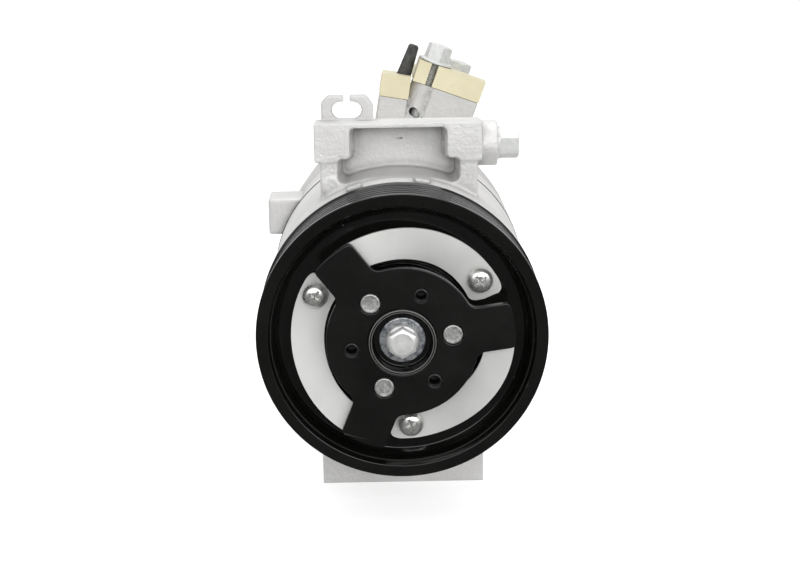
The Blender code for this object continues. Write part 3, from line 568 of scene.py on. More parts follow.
# painted highlight: a faint bright ring on each puller-hole lip
BLACK_PLATE = black_look("black plate coat", 0.16, 0.28,
                         [(polar(PULLER_CIRCLE, arm + 60), 2.5, 0.032) for arm in ARM_ANGLES])
SPRING = spring_look()
RIVET = rivet_look()
BRIGHT_ZINC = zinc_look("bright zinc", 0.22, 0.34, (0.90, 0.90, 0.88), (0.70, 0.70, 0.68), 0.9)
SATIN_ZINC = zinc_look("satin zinc", 0.38, 0.52, (0.82, 0.82, 0.81), (0.70, 0.70, 0.69), 0.75)
MATTE_ZINC = matte_look()
WASHER = washer_look()
IVORY = ivory_look()
RUBBER = rubber_look()
GROUND = ground_look()
PISTON = piston_look()


# ------ camera, floor and light

WORLD_BELOW, WORLD_ABOVE, WORLD_BEHIND = 0.10, 0.58, 0.60  # the world's light by direction
WHITE = (1, 1, 1, 1)
LENS, SENSOR = 72.648, 36
LIT_POINT = Vector((0, 0, 0.08))


def make_camera():
    """The photograph's view: a little above the shaft, almost straight at the pulley."""
    distance, elevation, azimuth, roll = 599.5, radians(14.12), radians(-0.50), radians(-0.89)
    aim = Vector((-0.55, 0, 22.46))
    back = Vector((sin(azimuth) * cos(elevation), -cos(azimuth) * cos(elevation), sin(elevation)))
    right = (-back).cross(Vector((0, 0, 1))).normalized()
    up = right.cross(-back)
    right, up = right * cos(roll) + up * sin(roll), up * cos(roll) - right * sin(roll)
    data = bpy.data.cameras.new("camera")
    data.sensor_width = SENSOR
    data.lens = LENS
    data.clip_start = 0.01
    camera = new_object("camera", data)
    turn = Matrix((right, up, back)).transposed().to_4x4()
    place = BENCH @ (aim + back * distance)
    camera.matrix_world = Matrix.Translation(place) @ turn
    bpy.context.scene.camera = camera


def soft_box(name, place, size, power):
    """A rectangular soft light that faces the compressor."""
    data = bpy.data.lights.new(name, "AREA")
    data.shape = "RECTANGLE"
    data.size, data.size_y = size
    data.energy = power
    light = new_object(name, data)
    light.location = place
    light.rotation_euler = (LIT_POINT - Vector(place)).to_track_quat("-Z", "Y").to_euler()


def make_world():
    """White to the eye; as a light it is brightest overhead, dimmer all round and dark below."""
    world = bpy.data.worlds.new("studio")
    bpy.context.scene.world = world
    world.use_nodes = True
    tree = world.node_tree
    tree.nodes.clear()
    output = add_node(tree, "OutputWorld")
    seen = add_node(tree, "Background", Color=WHITE)
    lit = add_node(tree, "Background", Color=WHITE)
    split = add_node(tree, "SeparateXYZ")
    rise = add_node(tree, "MapRange", From_Min=-0.35, From_Max=0.55, To_Min=WORLD_BELOW, To_Max=WORLD_ABOVE)
    rise.interpolation_type = "SMOOTHSTEP"
    behind = add_node(tree, "MapRange", From_Min=0.2, From_Max=0.95, To_Max=WORLD_BEHIND)
    total = add_node(tree, "Math")
    choose = add_node(tree, "MixShader")
    for one, two in (
        (add_node(tree, "TexCoord").outputs["Generated"], split.inputs["Vector"]),
        (split.outputs["Z"], rise.inputs["Value"]),
        (split.outputs["Y"], behind.inputs["Value"]),
        (rise.outputs["Result"], total.inputs[0]),
        (behind.outputs["Result"], total.inputs[1]),
        (total.outputs["Value"], lit.inputs["Strength"]),
        (add_node(tree, "LightPath").outputs["Is Camera Ray"], choose.inputs["Fac"]),
        (lit.outputs["Background"], choose.inputs[1]),
        (seen.outputs["Background"], choose.inputs[2]),
        (choose.outputs["Shader"], output.inputs["Surface"]),
    ):
        tree.links.new(one, two)


def make_floor():
    """A pale, matt disc that glows faintly, to read as white paper round the shadow."""
    shape = bmesh.new()
    bmesh.ops.create_circle(shape, cap_ends=True, segments=96, radius=4.0)
    floor = from_bmesh("floor", shape, Matrix.Identity(4))
    if floor.data.polygons[0].normal.z < 0:
        floor.data.flip_normals()
    pale = bpy.data.materials.new("pale floor")
    pale.use_nodes = True
    set_sockets(pale.node_tree.nodes["Principled BSDF"], Base_Color=(0.93, 0.93, 0.93, 1), Roughness=0.9,
                Specular_IOR_Level=0.1, Emission_Color=WHITE, Emission_Strength=0.45)
    floor.data.materials.append(pale)
    floor.visible_glossy = False


bpy.context.scene.view_settings.view_transform = "Standard"
make_camera()
make_world()
make_floor()
soft_box("key", (-0.45, -1.30, 0.62), (1.1, 0.7), 4.5)
soft_box("fill", (0.60, -1.25, 0.60), (1.1, 0.7), 7.9)
soft_box("top", (0.0, 0.10, 1.3), (1.0, 0.8), 7)
soft_box("card", (0.0, -1.6, 0.38), (1.3, 0.22), 1.2)


# ------ pulley, drive plate and what holds them

RIB_COUNT, RIB_PITCH = 6, 3.56
RIB_TOP, RIB_ROOT = 54.3, 51.45
RIVET_HOLE, SCREW_HOLE = 3.95, 2.8


def at_polar(radius, degrees, turn=0.0):
    """A bench place on the front at a radius and angle, with local z forwards and x turned by turn."""
    return (BENCH @ Matrix.Translation(polar(radius, degrees)) @ Matrix.Rotation(pi / 2, 4, "X")
            @ Matrix.Rotation(radians(turn), 4, "Z"))


def facing_plate(name, outline, front, back, holes=(), edge=0.3):
    """A plate seen from the front: its outline in (x, z), thick from front to back."""
    return outline_plate(name, outline, -back, -front, FACING, holes, edge)


def circle(x, z, radius, count=48):
    return arc((x, z), radius, 0, 2 * pi * (count - 1) / count, count)


def make_pulley():
    """Six V grooves between two lips, a web set back from the rim, a hub over the bearing."""
    width, radius = PULLEY_WIDTH, PULLEY_RADIUS
    first = width / 2 - RIB_COUNT * RIB_PITCH / 2
    ribs = []
    for i in range(RIB_COUNT):
        start = first + i * RIB_PITCH
        middle = start + RIB_PITCH / 2
        ribs += [(RIB_TOP, start + 0.45, 0.2), (RIB_ROOT, middle - 0.18, 0.15),
                 (RIB_ROOT, middle + 0.18, 0.15), (RIB_TOP, start + RIB_PITCH - 0.45, 0.2)]
    profile = (
        [(50.6, 0.25, 0.5), (radius - 0.1, 0, 0.7), (radius, 0.4, 0.3), (radius, first - 0.3, 0.35)] + ribs
        + [(radius, width - first + 0.3, 0.35), (radius, width, 0.7), (50.5, width, 0.4), (48.5, 15, 1.2),
           (29.6, 15, 1.2), (29.6, width, 0.4), (26.3, width, 0.4), (26.3, 9.55, 0.5), (27.6, 9.55, 0.2),
           (27.9, 9.75, 0.2), (29.0, 9.75, 0.2), (29.3, 9.5, 0.2), (46.6, 9.5, 0.9), (48.0, 8.2, 0.6),
           (48.3, 6.9, 0.2), (49.0, 4.9, 0.8), (50.3, 1.2, 0.4)]
    )
    pulley = lathe("pulley", profile, TURNED, 256)
    for arm in ARM_ANGLES:
        here = at_polar(SCREW_CIRCLE, arm - SCREW_LAG)
        pad = lathe("pad", [(0, -12, 0), (6, -12, 0), (6, -8.5, 0.5), (0, -8.5, 0)], here, 48, False)
        hole = prism("hole", 32, SCREW_HOLE, -18, -5, here)
        minus(union(pulley, pad), hole)
    piece(pulley, BLACK_PULLEY, "rotor", "pulley", sharp=50)


def arm_outline():
    """The disc with three parallel-sided arms, filleted at their roots and rounded at their corners."""
    disc, reach, half_width, corner, fillet = 28.5, 42.3, 8.7, 2.0, 4.0
    root_q = half_width + fillet
    root_p = sqrt((disc + fillet) ** 2 - root_q**2)
    root_angle = atan2(root_q, root_p)
    corner_q = half_width - corner
    corner_p = sqrt((reach - corner) ** 2 - corner_q**2)
    corner_angle = atan2(corner_q, corner_p)
    half = arc((0, 0), reach, 0, corner_angle, 10)[1:]
    half += arc((corner_p, corner_q), corner, corner_angle, pi / 2, 10)[1:]
    half += arc((root_p, root_q), fillet, 3 * pi / 2, pi + root_angle, 12)
    half += arc((0, 0), disc, root_angle, pi / 3, 22)[1:]
    whole = [(p, -q) for p, q in half[::-1][1:]] + [(reach, 0)] + half
    return [point for arm in ARM_ANGLES for point in rotated(whole, arm)]


def make_drive_plate():
    """The stamped plate, with a small raised lip round each puller hole; its coat paints a highlight ring on
    each lip.
    """
    holes = [circle(0, 0, 12.9, 96)]
    lips = []
    profile = [(1.9, 3.2, 0.1), (1.9, 5.05, 0.2), (2.15, 5.22, 0.15), (2.45, 5.05, 0.2), (2.6, 4.75, 0.1),
               (2.6, 3.2, 0)]
    for arm in ARM_ANGLES:
        rivet, puller = polar(RIVET_CIRCLE, arm), polar(PULLER_CIRCLE, arm + 60)
        holes += [circle(rivet.x, rivet.z, RIVET_HOLE), circle(puller.x, puller.z, 2.65)]
        lips.append(lathe("lip", profile, at_polar(PULLER_CIRCLE, arm + 60), 48))
    disc = facing_plate("drive_plate", arm_outline(), -5, -2, holes, 0.35)
    piece(joined("drive_plate", [disc, *lips]), BLACK_PLATE, "rotor", "drive_plate", sharp=40)


def make_drive_hub():
    """The glossy boss ring round the bolt's pit with two thin rings of painted highlight, the riveted flange,
    and the splined sleeve.
    """
    profile = [(7.3, -0.4, 0.2), (10.9, -0.4, 0.6), (11.2, -4.6, 0.4), (11.5, -6.0, 0.35), (12.6, -6.0, 0.5),
               (12.6, -0.2, 0.3), (23.5, -0.2, 0.4), (23.5, 1.6, 0.4), (11, 1.6, 0.4),
               (11, 13, 0.3), (7.3, 13, 0.3)]
    hub = lathe("drive_hub", profile, TURNED, 128)
    holes = [prism("hole", 32, RIVET_HOLE, -4, 3, at_polar(RIVET_CIRCLE, arm)) for arm in ARM_ANGLES]
    vent = prism("vent", 24, 1.25, -0.2, 1.5, at_polar(9.7, -82))
    piece(minus(hub, vent, *holes), BLACK_HUB, "rotor", "drive_hub", sharp=40)


def make_rivets():
    """Rivets with a flat head behind and a faintly dished one in front."""
    profile = [(0, -2.9, 0), (4.7, -2.9, 0.4), (4.7, -1.9, 0.1), (3.65, -1.9, 0.1), (3.65, 5.1, 0.35),
               (3.1, 5.16, 0.3), (2.2, 5.04, 0.6), (0, 5.05, 0)]
    for i, arm in enumerate(ARM_ANGLES, 1):
        rivet = lathe("rivet", profile, at_polar(RIVET_CIRCLE, arm), 64, False)
        piece(rivet, RIVET, "rotor", f"plate_rivet_{i}", sharp=40)


LEAF_THICKNESS = 1.2
LEAF_INNER, LEAF_OUTER, LEAF_TIP = 28.5, 42.0, 38.0  # radii; the rounded ends close in on the tip's
LOW_SEAT, HIGH_SEAT = 7.0, -1.7  # the leaf's front face at its screw and at its rivet, as bench y
CLIMB_START, CLIMB_LENGTH = 0.19, 0.68  # the part of its length over which it climbs
SCREW_END, ARM_END = 4.0, 2.0  # how far the rounding runs in from either end


def spring_height(share):
    """The smooth climb of a leaf spring from the pulley's web to the drive plate."""
    climb = min(1, max(0, (share - CLIMB_START) / CLIMB_LENGTH))
    return LOW_SEAT + (HIGH_SEAT - LOW_SEAT) * climb * climb * (3 - 2 * climb)


def spring_pinch(travel, left):
    """The share of its full width that a leaf has, at a way from its screw end and from its arm end."""
    pinch = 1.0
    if travel < SCREW_END:
        pinch = 0.45 + 0.55 * sqrt(max(0.0, 1 - ((SCREW_END - travel) / SCREW_END) ** 2))
    if left < ARM_END:
        pinch = min(pinch, 0.75 + 0.25 * sqrt(max(0.0, 1 - ((ARM_END - left) / ARM_END) ** 2)))
    return pinch


def make_leaf_springs():
    """A ribbon of quads between an inner and an outer arc, thick along y, rounded at its screw end."""
    rows, columns = 96, 9
    tab = rounded([(14.5, -6, 1.5), (40.5, -6, 1.5), (40.5, 6, 1.5), (14.5, 6, 1.5)], steps=8)
    for i, arm in enumerate(ARM_ANGLES, 1):
        start, end = radians(arm - SPRING_LAG), radians(arm + 6)
        shape = bmesh.new()
        fronts, backs = [], []
        for row in range(rows + 1):
            share = row / rows
            angle = start + (end - start) * share
            low, high = LEAF_INNER + 3 * share, LEAF_OUTER
            travel = share * (end - start) * SCREW_CIRCLE
            pinch = spring_pinch(travel, (end - start) * SCREW_CIRCLE - travel)
            half = (high - low) / 2 * pinch
            middle = (low + high) / 2 * pinch + LEAF_TIP * (1 - pinch)
            y = spring_height(share)
            front, back = [], []
            for column in range(columns + 1):
                r = middle + half * (2 * column / columns - 1)
                front.append(shape.verts.new((r * cos(angle), y, r * sin(angle))))
                back.append(shape.verts.new((r * cos(angle), y + LEAF_THICKNESS, r * sin(angle))))
            fronts.append(front)
            backs.append(back)
        for a, b in zip(range(rows), range(1, rows + 1)):
            for c in range(columns):
                shape.faces.new((fronts[a][c], fronts[b][c], fronts[b][c + 1], fronts[a][c + 1]))
                shape.faces.new((backs[a][c], backs[a][c + 1], backs[b][c + 1], backs[b][c]))
            shape.faces.new((fronts[a][0], backs[a][0], backs[b][0], fronts[b][0]))
            shape.faces.new((fronts[a][-1], fronts[b][-1], backs[b][-1], backs[a][-1]))
        for a in (0, rows):
            for c in range(columns):
                quad = (fronts[a][c], fronts[a][c + 1], backs[a][c + 1], backs[a][c])
                shape.faces.new(quad if a == 0 else quad[::-1])
        bmesh.ops.remove_doubles(shape, verts=shape.verts, dist=1e-4)
        leaf = from_bmesh("leaf", shape, BENCH)
        union(leaf, facing_plate("tab", rotated(tab, arm), -1.7, -0.5, [], 0.15))
        minus(leaf, prism("hole", 32, RIVET_HOLE, -6, 6, at_polar(RIVET_CIRCLE, arm)),
              prism("hole", 32, SCREW_HOLE, -20, 2, at_polar(SCREW_CIRCLE, arm - SCREW_LAG)))
        bevelled(leaf, 0.12, 2, 50)
        piece(leaf, SPRING, "rotor", f"leaf_spring_{i}", sharp=40)


def make_spring_screws():
    """Pan heads with a cross recess and a shank through spring and web."""
    profile = [(0, -14.5, 0), (2.1, -14.5, 0), (2.5, -14.1, 0), (2.5, -6.7, 0.1), (4.75, -6.7, 0.1),
               (4.9, -6.3, 0.2), (4.75, -5.5, 0.6), (3.6, -4.3, 1.6), (2.0, -3.85, 1.4), (0, -3.8, 0)]
    for i, arm in enumerate(ARM_ANGLES, 1):
        here = at_polar(SCREW_CIRCLE, arm - SCREW_LAG, turn=20 * i)
        screw = lathe("screw", profile, here, 64, False)
        cross = []
        for wide, high in ((2.7, 0.55), (0.55, 2.7)):
            stretched = here @ Matrix.Diagonal((wide * 1.35, high * 1.2, 1, 1))
            cross.append(prism("cross", 4, sqrt(2) * 0.5, -5.4, -3, stretched, pi / 4, sqrt(2)))
        minus(screw, *cross)
        piece(screw, BRIGHT_ZINC, "rotor", f"spring_screw_{i}", sharp=38)


def make_hub_bolt():
    """Hexagon head with a turned chamfer, round flange and shank."""
    head = prism("head", 6, 5 / cos(pi / 6), 3.2, 8.0, FACING)
    chamfer = [(0, 2, 0), (7, 2, 0), (7, 6.85, 0), (4.15, 8.0, 0.15), (0, 8.0, 0)]
    common(head, lathe("cap", chamfer, FACING, 96, False))
    bevelled(head, 0.12, 2, 25)
    body = lathe("body", [(0, -16, 0), (3.5, -16, 0), (4, -15.4, 0), (4, 2.2, 0.1), (6.3, 2.2, 0.1),
                          (6.3, 2.75, 0.3), (5.6, 3.5, 0.5), (0, 3.5, 0)], FACING, 96, False)
    piece(union(body, head), SATIN_ZINC, "rotor", "hub_bolt", sharp=30)


def make_hub_washer():
    """The plain washer under the hub bolt's flange."""
    profile = [(4.3, 0.7, 0.1), (8.7, 0.7, 0.2), (8.7, 1.75, 0.35), (8.2, 1.9, 0.2), (4.3, 1.9, 0.1)]
    piece(lathe("washer", profile, FACING, 96), WASHER, "rotor", "hub_washer", sharp=40)


make_pulley()
make_drive_plate()
make_drive_hub()
make_rivets()
make_leaf_springs()
make_spring_screws()
make_hub_bolt()
make_hub_washer()


# ------ castings

def along(start, end, radius, matrix=BENCH, sides=64):
    """A rod between two bench points."""
    start, end = Vector(start), Vector(end)
    aim = (end - start).to_track_quat("Z", "Y").to_matrix().to_4x4()
    length = (end - start).length
    return prism("rod", sides, radius, 0, length, matrix @ Matrix.Translation(start) @ aim)


def mount_rod(start, end, radius):
    """A rod along the upper mounting bolt's line."""
    return along((start, MOUNT_Y, MOUNT_Z), (end, MOUNT_Y, MOUNT_Z), radius)


def port_rod(place, low, high, radius):
    """A rod square to the right port's face."""
    return along((*place, low), (*place, high), radius, PORTS)


def turned(name, profile, steps=128, closed=False):
    """A shape turned about the shaft: (radius, y) or (radius, y, corner radius) along its profile."""
    return lathe(name, [(*point, 0)[:3] for point in profile], TURNED, steps, closed)


def rods_round(circle_radius, angles, radius, front, back, sides=64):
    """Rods along the shaft's direction, spaced round a circle."""
    return [along(polar(circle_radius, a, front), polar(circle_radius, a, back), radius, BENCH, sides)
            for a in angles]


def through_bolt_rods(radius, front, back):
    return rods_round(BOLT_CIRCLE, THROUGH_BOLT_ANGLES, radius, front, back)


def recess_outline(inset, crown, low):
    """The stepped pocket's outline in (x, z), its lower edge arching from low corners up to a crown."""
    narrow, wide, top, step = 19 - inset, 24 - inset, 73.6 - inset, 61.5 - inset
    rise = crown - low
    radius = (wide**2 + rise**2) / (2 * rise)
    end = asin(wide / radius)
    floor = [(x, z, 0) for x, z in arc((0, crown - radius), radius, pi / 2 + end, pi / 2 - end, 41)[6:-6]]
    return rounded([(-narrow, top, 1.6), (-narrow, step, 1.5), (-wide, step, 1.8), (-wide, low, 2.6), *floor,
                    (wide, low, 2.6), (wide, step, 1.8), (narrow, step, 1.5), (narrow, top, 1.6)], steps=5)


def make_recess():
    """A cutter whose walls lean in by the casting's draft, from its mouth to its floor.

    Each section is its y, how far its outline is drawn in, and the heights of its crown and low corners.
    """
    shape = bmesh.new()
    sections = ((38, -0.15, 54.5, 50.6), (44, 0.6, 55.2, 51.0), (56, 1.5, 55.8, 51.3))
    rings = [[shape.verts.new((x, y, z)) for x, z in recess_outline(inset, crown, low)]
             for y, inset, crown, low in sections]
    count = len(rings[0])
    for one, two in zip(rings, rings[1:]):
        for i in range(count):
            k = (i + 1) % count
            shape.faces.new((one[i], one[k], two[k], two[i]))
    shape.faces.new(rings[0])
    shape.faces.new(rings[-1][::-1])
    return from_bmesh("recess", shape, BENCH)


def facing_block(name, low, high, lift):
    """A block whose top slopes down to the back, lifted at the front by the casting's draft."""
    made = block(name, low, high, Matrix.Identity(4))
    middle = (Vector(low) + Vector(high)) / 2
    for vertex in made.data.vertices:
        if vertex.co.y < middle.y and vertex.co.z > middle.z:
            vertex.co.z += lift
    made.data.transform(BENCH)
    return made


def make_clip_hook():
    """The thin C-shaped hook on the mount's top that holds a cable clip."""
    outline = rounded([(-30.2, 72.5, 0), (-9.7, 72.5, 0), (-9.7, 80.8, 0.8), (-12.5, 84.6, 0.8),
                       (-27.5, 84.6, 1.2), (-30.2, 81.8, 0.8)])
    opening = arc((-22.6, 78.7), 3.4, pi / 2, 3 * pi / 2, 24) + arc((-17.6, 78.7), 3.4, -pi / 2, pi / 2, 24)
    hook = facing_plate("hook", outline, 52.6, 57.0, (), 0.3)
    return minus(hook, facing_plate("opening", opening, 50, 60, (), 0.1),
                 block("gap", (-21.3, 50, 80), (-18.9, 60, 90), BENCH))


def make_front_housing():
    """Barrel, shoulder, bearing nose, upper and lower lugs, softened like a casting, then machined.

    The two pads and the nub stand on the shoulder; the fleck is a short flaw in the pocket's floor; the
    mark is the faint ring of an ejector pin.
    """
    body = turned("front_housing", [
        (0, 30), (20.0, 30), (40, 29.2, 2), (49.5, 31.5, 3), (54.4, 38.2, 2), (54.4, 41.5, 1),
        (BARREL_RADIUS, 46, 3), (BARREL_RADIUS, HOUSING_BACK), (0, HOUSING_BACK),
    ])
    pads = []
    for angle in (80.4, 109.0):
        here = BENCH @ Matrix.Rotation(-radians(angle), 4, "Y")
        pads.append(bevelled(block("pad", (53.0, 34.5, -3.1), (54.75, 41.4, 3.1), here), 0.25, 2))
    nub = along((-25.9, 39.75, 50.4), (-25.9, 45, 50.4), 3.9)
    union(body, nub, *pads)
    slab = facing_block("slab", (-32.9, 40, 60), (32.6, 60, 74.3), 1.0)
    neck = block("neck", (-30.8, 40.3, 20), (30.8, 60.3, 61), BENCH)
    lug = block("lug", (-33, 46, -75), (33, 64, -30), BENCH)
    union(body, slab, neck, mount_rod(20, 39, 9), lug, make_clip_hook())
    minus(body, make_recess())
    soften(body, 0.55, 3)
    flaw = [(-1.6, 66.9), (0.6, 66.75), (1.7, 66.6), (1.9, 67.0), (1.2, 67.2), (0.2, 67.0)]
    minus(body, facing_plate("fleck", flaw, 55.5, 57, (), 0.05))
    machined = turned("machined", [
        (0, 4.2), (16.9, 4.2, 0.3), (17.2, 4.7), (17.2, 4.9), (16.2, 4.9), (16.2, 6.1), (17.2, 6.1),
        (17.2, 24.5), (20.2, 24.5), (20.2, 31), (0, 31),
    ])
    union(body, machined)
    inner = turned("inner", [
        (0, 3), (14, 3), (14, 30), (9, 30), (9, 36), (12.3, 36), (12.3, 53.5), (45, 53.5), (47.5, 56),
        (47.5, 101), (0, 101),
    ])
    mark = lathe("mark", [(3.35, -0.3, 0), (4.05, -0.3, 0), (3.85, 0.09, 0.05), (3.55, 0.09, 0.05)],
                 BENCH @ Matrix.Translation((26.2, 40.05, 66.2)) @ Matrix.Rotation(pi / 2, 4, "X"), 48)
    minus(
        body, inner,
        block("back_face", (-80, HOUSING_BACK, -80), (80, 110, 90), BENCH),
        mount_rod(-40, 30, 4.3),
        mount_rod(26.7, 45, 6.8),
        along((-40, 55, -65.5), (40, 55, -65.5), 4.3),
        *through_bolt_rods(3.3, 41, 60),
    )
    union(body, mark)
    piece(body, CAST, "root", "front_housing", sharp=35)


def make_cylinder_block():
    """The block with its side lug and five bores, turned to fit between the housing and the head."""
    body = turned("cylinder_block", [
        (0, 100.15), (53.2, 100.15), (BARREL_RADIUS, 100.45), (BARREL_RADIUS, 122.7), (53.2, 123), (48, 123),
        (48, 153.2), (0, 153.2),
    ])
    lug = block("side_lug", (-56.0, 102.2, 18.2), (-40, 121.5, 33.8), BENCH)
    soften(bevelled(lug, 0.9, 3), 0.6, 3)
    union(body, lug)
    bores = rods_round(BORE_CIRCLE, CYLINDER_ANGLES, 14.5, 104, 156, 96)
    groove = turned("groove", [(49.7, 98), (51.3, 98), (51.3, 101.45), (49.7, 101.45)], closed=True)
    minus(
        body,
        along((0, 98, 0), (0, 106, 0), 47.5, sides=192),
        along((0, 104, 0), (0, 130, 0), 12.3),
        groove, *bores, *through_bolt_rods(3.3, 104, 156),
    )
    piece(body, CAST, "root", "cylinder_block", sharp=35)


def make_rear_head():
    """Rear head with its five bolt pads, foot, valve pad and the two port blocks."""
    body = turned("rear_head", [
        (0, HEAD_FRONT), (53.2, HEAD_FRONT), (53.2, 150, 4), (51.7, 172, 4), (50.5, 190, 4), (46.5, 200, 4),
        (0, 200),
    ])
    union(
        body, *through_bolt_rods(7.2, 180, 204.2),
        block("foot", (-20, 138, -75), (20, 156, -35), BENCH),
        along((-53.4, VALVE_Y, VALVE_Z), (-20, VALVE_Y, VALVE_Z), 11.2),
        block("left_port", (-19.0, 141.8, 30), (-6.4, 168, 71), LEFT_PORT),
        block("right_port", (-10.0, 141.8, 30), (11.4, 174, 77.4), PORTS),
        port_rod(PORT_BOSS, 30, 77.4, 6.0),
        block("web", (-21.0, 146.5, 30), (-9.0, 166, 66.0), PORTS),
    )
    soften(body, 0.6, 3)
    chambers = turned("chambers", [
        (0, 120), (48.3, 120), (48.3, 157.6), (38, 157.6), (38, 166), (24, 166), (24, 157.6), (21, 157.6),
        (21, 174), (8, 174), (8, 192), (0, 192),
    ])
    minus(
        body, chambers,
        block("left_face", (-30, 130, 70.2), (-6.9, 175, 80), LEFT_PORT),
        block("right_face", (-30, 130, 76.7), (20, 180, 85), PORTS),
        block("front_face", (-80, 100, -80), (80, HEAD_FRONT, 90), BENCH),
        block("back_face", (-80, 203.7, -80), (80, 215, 90), BENCH),
        block("valve_face", (-60, 170, -30), (-53.0, 200, 20), BENCH),
        *through_bolt_rods(3.3, 156, 206),
        port_rod((1.0, 156), 36, 80, 6.5),
        along((-12.7, 159, 50), (-12.7, 159, 75), 4.2, LEFT_PORT),
        port_rod(FRONT_PORT_BOLT, 58, 80, 3.3),
        port_rod(REAR_PORT_BOLT, 58, 80, 3.3),
        along((-14.9, 130, 63.8), (-14.9, 154, 63.8), 2.0, PORTS),
        along((-13.3, 130, 62.9), (-13.3, 154, 62.9), 1.7, PORTS),
        along((-60, VALVE_Y, VALVE_Z), (-14.2, VALVE_Y, VALVE_Z), 8.3),
        along((RELIEF_X, 186, RELIEF_Z), (RELIEF_X, 210, RELIEF_Z), 5.3),
    )
    # the rear head wears the darker copy of the cast look: painted shade
    piece(body, CAST_SHADED, "root", "rear_head", sharp=35)


def make_front_seal():
    """The round seal in its groove, and the black gasket whose edge shows as a line round the barrel."""
    section = [(50.5 + 0.55 * cos(a), 100.75 + 0.55 * sin(a)) for a in (2 * pi * i / 16 for i in range(16))]
    seal = turned("seal", section, closed=True)
    gasket = turned("gasket", [(51.6, 99.9), (53.72, 99.9), (53.72, 100.1), (51.6, 100.1)], 192, True)
    piece(joined("front_o_ring", [seal, gasket]), RUBBER, "root", "front_o_ring")


make_front_housing()
make_cylinder_block()
make_rear_head()
make_front_seal()


# ------ ports, bush, valves and bolts

def hex_head(name, across, low, high, matrix, turn=0.0, chamfer=0.35, flange=None):
    """A hexagon head with a turned chamfer, on a round flange if one is given as (radius, thickness)."""
    corner = across / 2 / cos(pi / 6)
    head = prism(name, 6, corner, low, high, matrix, turn)
    cap = lathe("cap", [(0, low - 1, 0), (corner + 1, low - 1, 0), (corner + 1, high - chamfer * 1.6, 0),
                        (across / 2 - chamfer, high, 0.2), (0, high, 0)], matrix, 96, False)
    common(head, cap)
    bevelled(head, 0.25, 2, 25)
    if flange:
        radius, thick = flange
        disc = lathe("flange", [(0, low, 0), (radius, low, 0.15), (radius, low + thick * 0.6, 0.2),
                                (corner + 0.1, low + thick, 0.3), (0, low + thick, 0)], matrix, 96, False)
        union(head, disc)
    return head


def make_port_bolts():
    """Satin bolts with rounded heads on wide flanges; plain rings stand for the thread below."""
    bolts = (("port_bolt_front", FRONT_PORT_BOLT, 87.3), ("port_bolt_rear", REAR_PORT_BOLT, 81.3))
    for name, place, seat in bolts:
        here = PORTS @ Matrix.Translation((*place, seat))
        head = prism("head", 6, 5.25 / cos(pi / 6), 0.8, 8.3, here, radians(12), 4.9 / cos(pi / 6))
        cap = lathe("cap", [(0, -1, 0), (8, -1, 0), (8, 6.3, 0), (4.9, 7.9, 1.2), (2.5, 8.3, 1), (0, 8.3, 0)],
                    here, 96, False)
        common(head, cap)
        bevelled(head, 0.7, 4, 25)
        thread = []
        for i in range(12):
            thread += [(2.35, -10.6 + 0.85 * i, 0), (1.95, -10.2 + 0.85 * i, 0)]
        profile = [(0, -27, 0), (2.6, -27, 0), (3, -26.4, 0), (3, -11, 0.1), *thread, (2.35, 0, 0),
                   (7.6, 0, 0.15), (7.6, 0.8, 0.35), (6.3, 1.3, 0.4), (0, 1.3, 0)]
        flange = lathe("flange", profile, here, 96, False)
        piece(union(flange, head), MATTE_ZINC, "root", name, sharp=32)


def make_port_caps():
    """Moulded protection caps over the ports, with soft edges, a gate mark and a rubber plug."""
    left = block("left", (-19.2, 141, 70.5), (-6.2, 168.5, 80.7), LEFT_PORT)
    minus(left, port_rod(PORT_BOSS, 60, 85, 6.15), port_rod(CAP_PLUG, 75.5, 85, 3.6),
          block("step", (-25, 155, 77.6), (0, 180, 90), LEFT_PORT))
    piece(bevelled(left, 0.45, 3, 40), IVORY, "root", "port_cap_left", sharp=50)
    right = block("right", (-19.7, 141, 77.0), (11.5, 175, 87.0), PORTS)
    minus(right, port_rod(FRONT_PORT_BOLT, 75, 90, 3.4),
          block("slot", (-14.0, 135, 75), (-10.8, 148, 90), PORTS),
          block("step", (-25, 160, 81), (20, 180, 90), PORTS),
          block("side_step", (-4.6, 150, 81), (20, 170, 90), PORTS),
          port_rod(REAR_PORT_BOLT, 75, 90, 3.4))
    gate = lathe("gate", [(0, -0.6, 0), (0.6, -0.6, 0), (0.5, 0.2, 0.15), (0, 0.25, 0)],
                 PORTS @ Matrix.Translation((-2.3, 141, 80.5)) @ Matrix.Rotation(pi / 2, 4, "X"), 24, False)
    piece(union(bevelled(right, 0.5, 3, 40), gate), IVORY, "root", "port_cap_right", sharp=50)
    profile = [(0, 76, 0), (3.1, 76, 0.3), (3.3, 76.6, 0.3), (2.35, 90.6, 0.5), (1.8, 91.5, 0.7),
               (0, 91.5, 0)]
    plug = lathe("plug", profile, PORTS @ Matrix.Translation((*CAP_PLUG, 0)), 64, False)
    piece(plug, RUBBER, "root", "cap_plug", sharp=50)


def make_mount_bush():
    """The sliding sleeve of the upper mount, with its hexagon end."""
    here = BENCH @ Matrix.Translation((0, MOUNT_Y, MOUNT_Z)) @ SIDEWAYS
    profile = [(0, 27, 0), (6.2, 27, 0), (6.5, 27.3, 0), (6.5, 40, 0.1), (0, 40, 0)]
    sleeve = lathe("sleeve", profile, here, 96, False)
    union(sleeve, hex_head("hex", 11.3, 39.3, 47.5, here, radians(35.5), 0.5))
    minus(sleeve, mount_rod(20, 50, 4.3))
    piece(sleeve, MATTE_ZINC, "root", "mount_bush", sharp=30)


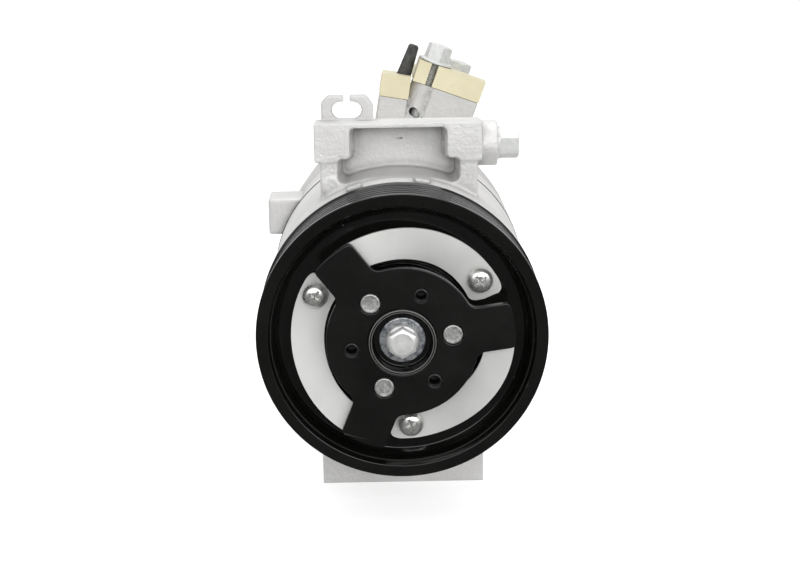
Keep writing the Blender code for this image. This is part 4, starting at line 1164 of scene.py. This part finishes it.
def make_through_bolts():
    """Five long bolts from the head into the front housing, each head stopped at its own angle."""
    profile = [(0, 42, 0), (2.6, 42, 0), (3, 42.5, 0), (3, 204.5, 0), (0, 204.5, 0)]
    for i, angle in enumerate(THROUGH_BOLT_ANGLES, 1):
        here = BENCH @ Matrix.Translation(polar(BOLT_CIRCLE, angle)) @ Matrix.Rotation(-pi / 2, 4, "X")
        head = hex_head("head", 10, 204, 208, here, 0.1 * i, 0.35, (6.5, 1.2))
        shank = lathe("shank", profile, here, 64, False)
        piece(union(head, shank), SATIN_ZINC, "root", f"through_bolt_{i}", sharp=30)


def make_valves():
    """The control valve in the head's side and the relief valve in its back."""
    side = BENCH @ Matrix.Translation((0, VALVE_Y, VALVE_Z)) @ Matrix.Rotation(-pi / 2, 4, "Y")
    profile = [(0, 14.8, 0), (7.6, 14.8, 0), (8, 15.2, 0), (8, 50, 0.2), (7.8, 53.3, 0), (9.8, 53.3, 0.1),
               (9.8, 54.2, 0.3), (0, 54.2, 0)]
    valve = lathe("valve", profile, side, 96, False)
    socket = bevelled(block("socket", (-54.8, 179, -14), (-53.5, 189, -6), BENCH), 0.4, 3)
    piece(union(valve, socket), SATIN_ZINC, "root", "control_valve", sharp=32)
    back = BENCH @ Matrix.Translation((RELIEF_X, 0, RELIEF_Z)) @ Matrix.Rotation(-pi / 2, 4, "X")
    relief = hex_head("hex", 14, 200.3, 205.5, back, 0.2, 0.4)
    profile = [(0, 188, 0), (4.7, 188, 0), (5, 188.4, 0), (5, 201, 0), (0, 201, 0)]
    union(relief, lathe("body", profile, back, 64, False))
    piece(relief, BRIGHT_ZINC, "root", "relief_valve", sharp=32)


make_port_bolts()
make_port_caps()
make_mount_bush()
make_through_bolts()
make_valves()


# ------ inner pieces that keep their CAD shape

LOOKS = {
    "ground_steel": GROUND, "black_rubber": RUBBER, "spring_steel": SPRING, "coated_piston": PISTON,
    "zinc_plated_steel": SATIN_ZINC, "cast_aluminium": CAST, "black_coated_steel": BLACK,
    "ivory_plastic": IVORY,
}
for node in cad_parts.values():
    slots = [m.name.split(".")[0] for m in node.data.materials if m]
    node.data.materials.clear()
    node.data.materials.append(LOOKS.get(slots[0] if slots else "ground_steel", GROUND))


def squash_destroke_spring():
    """Gives the destroke spring its own copy of its mesh, leaving the coil's shape as it is."""
    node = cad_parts["destroke_spring"]
    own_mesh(node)


squash_destroke_spring()
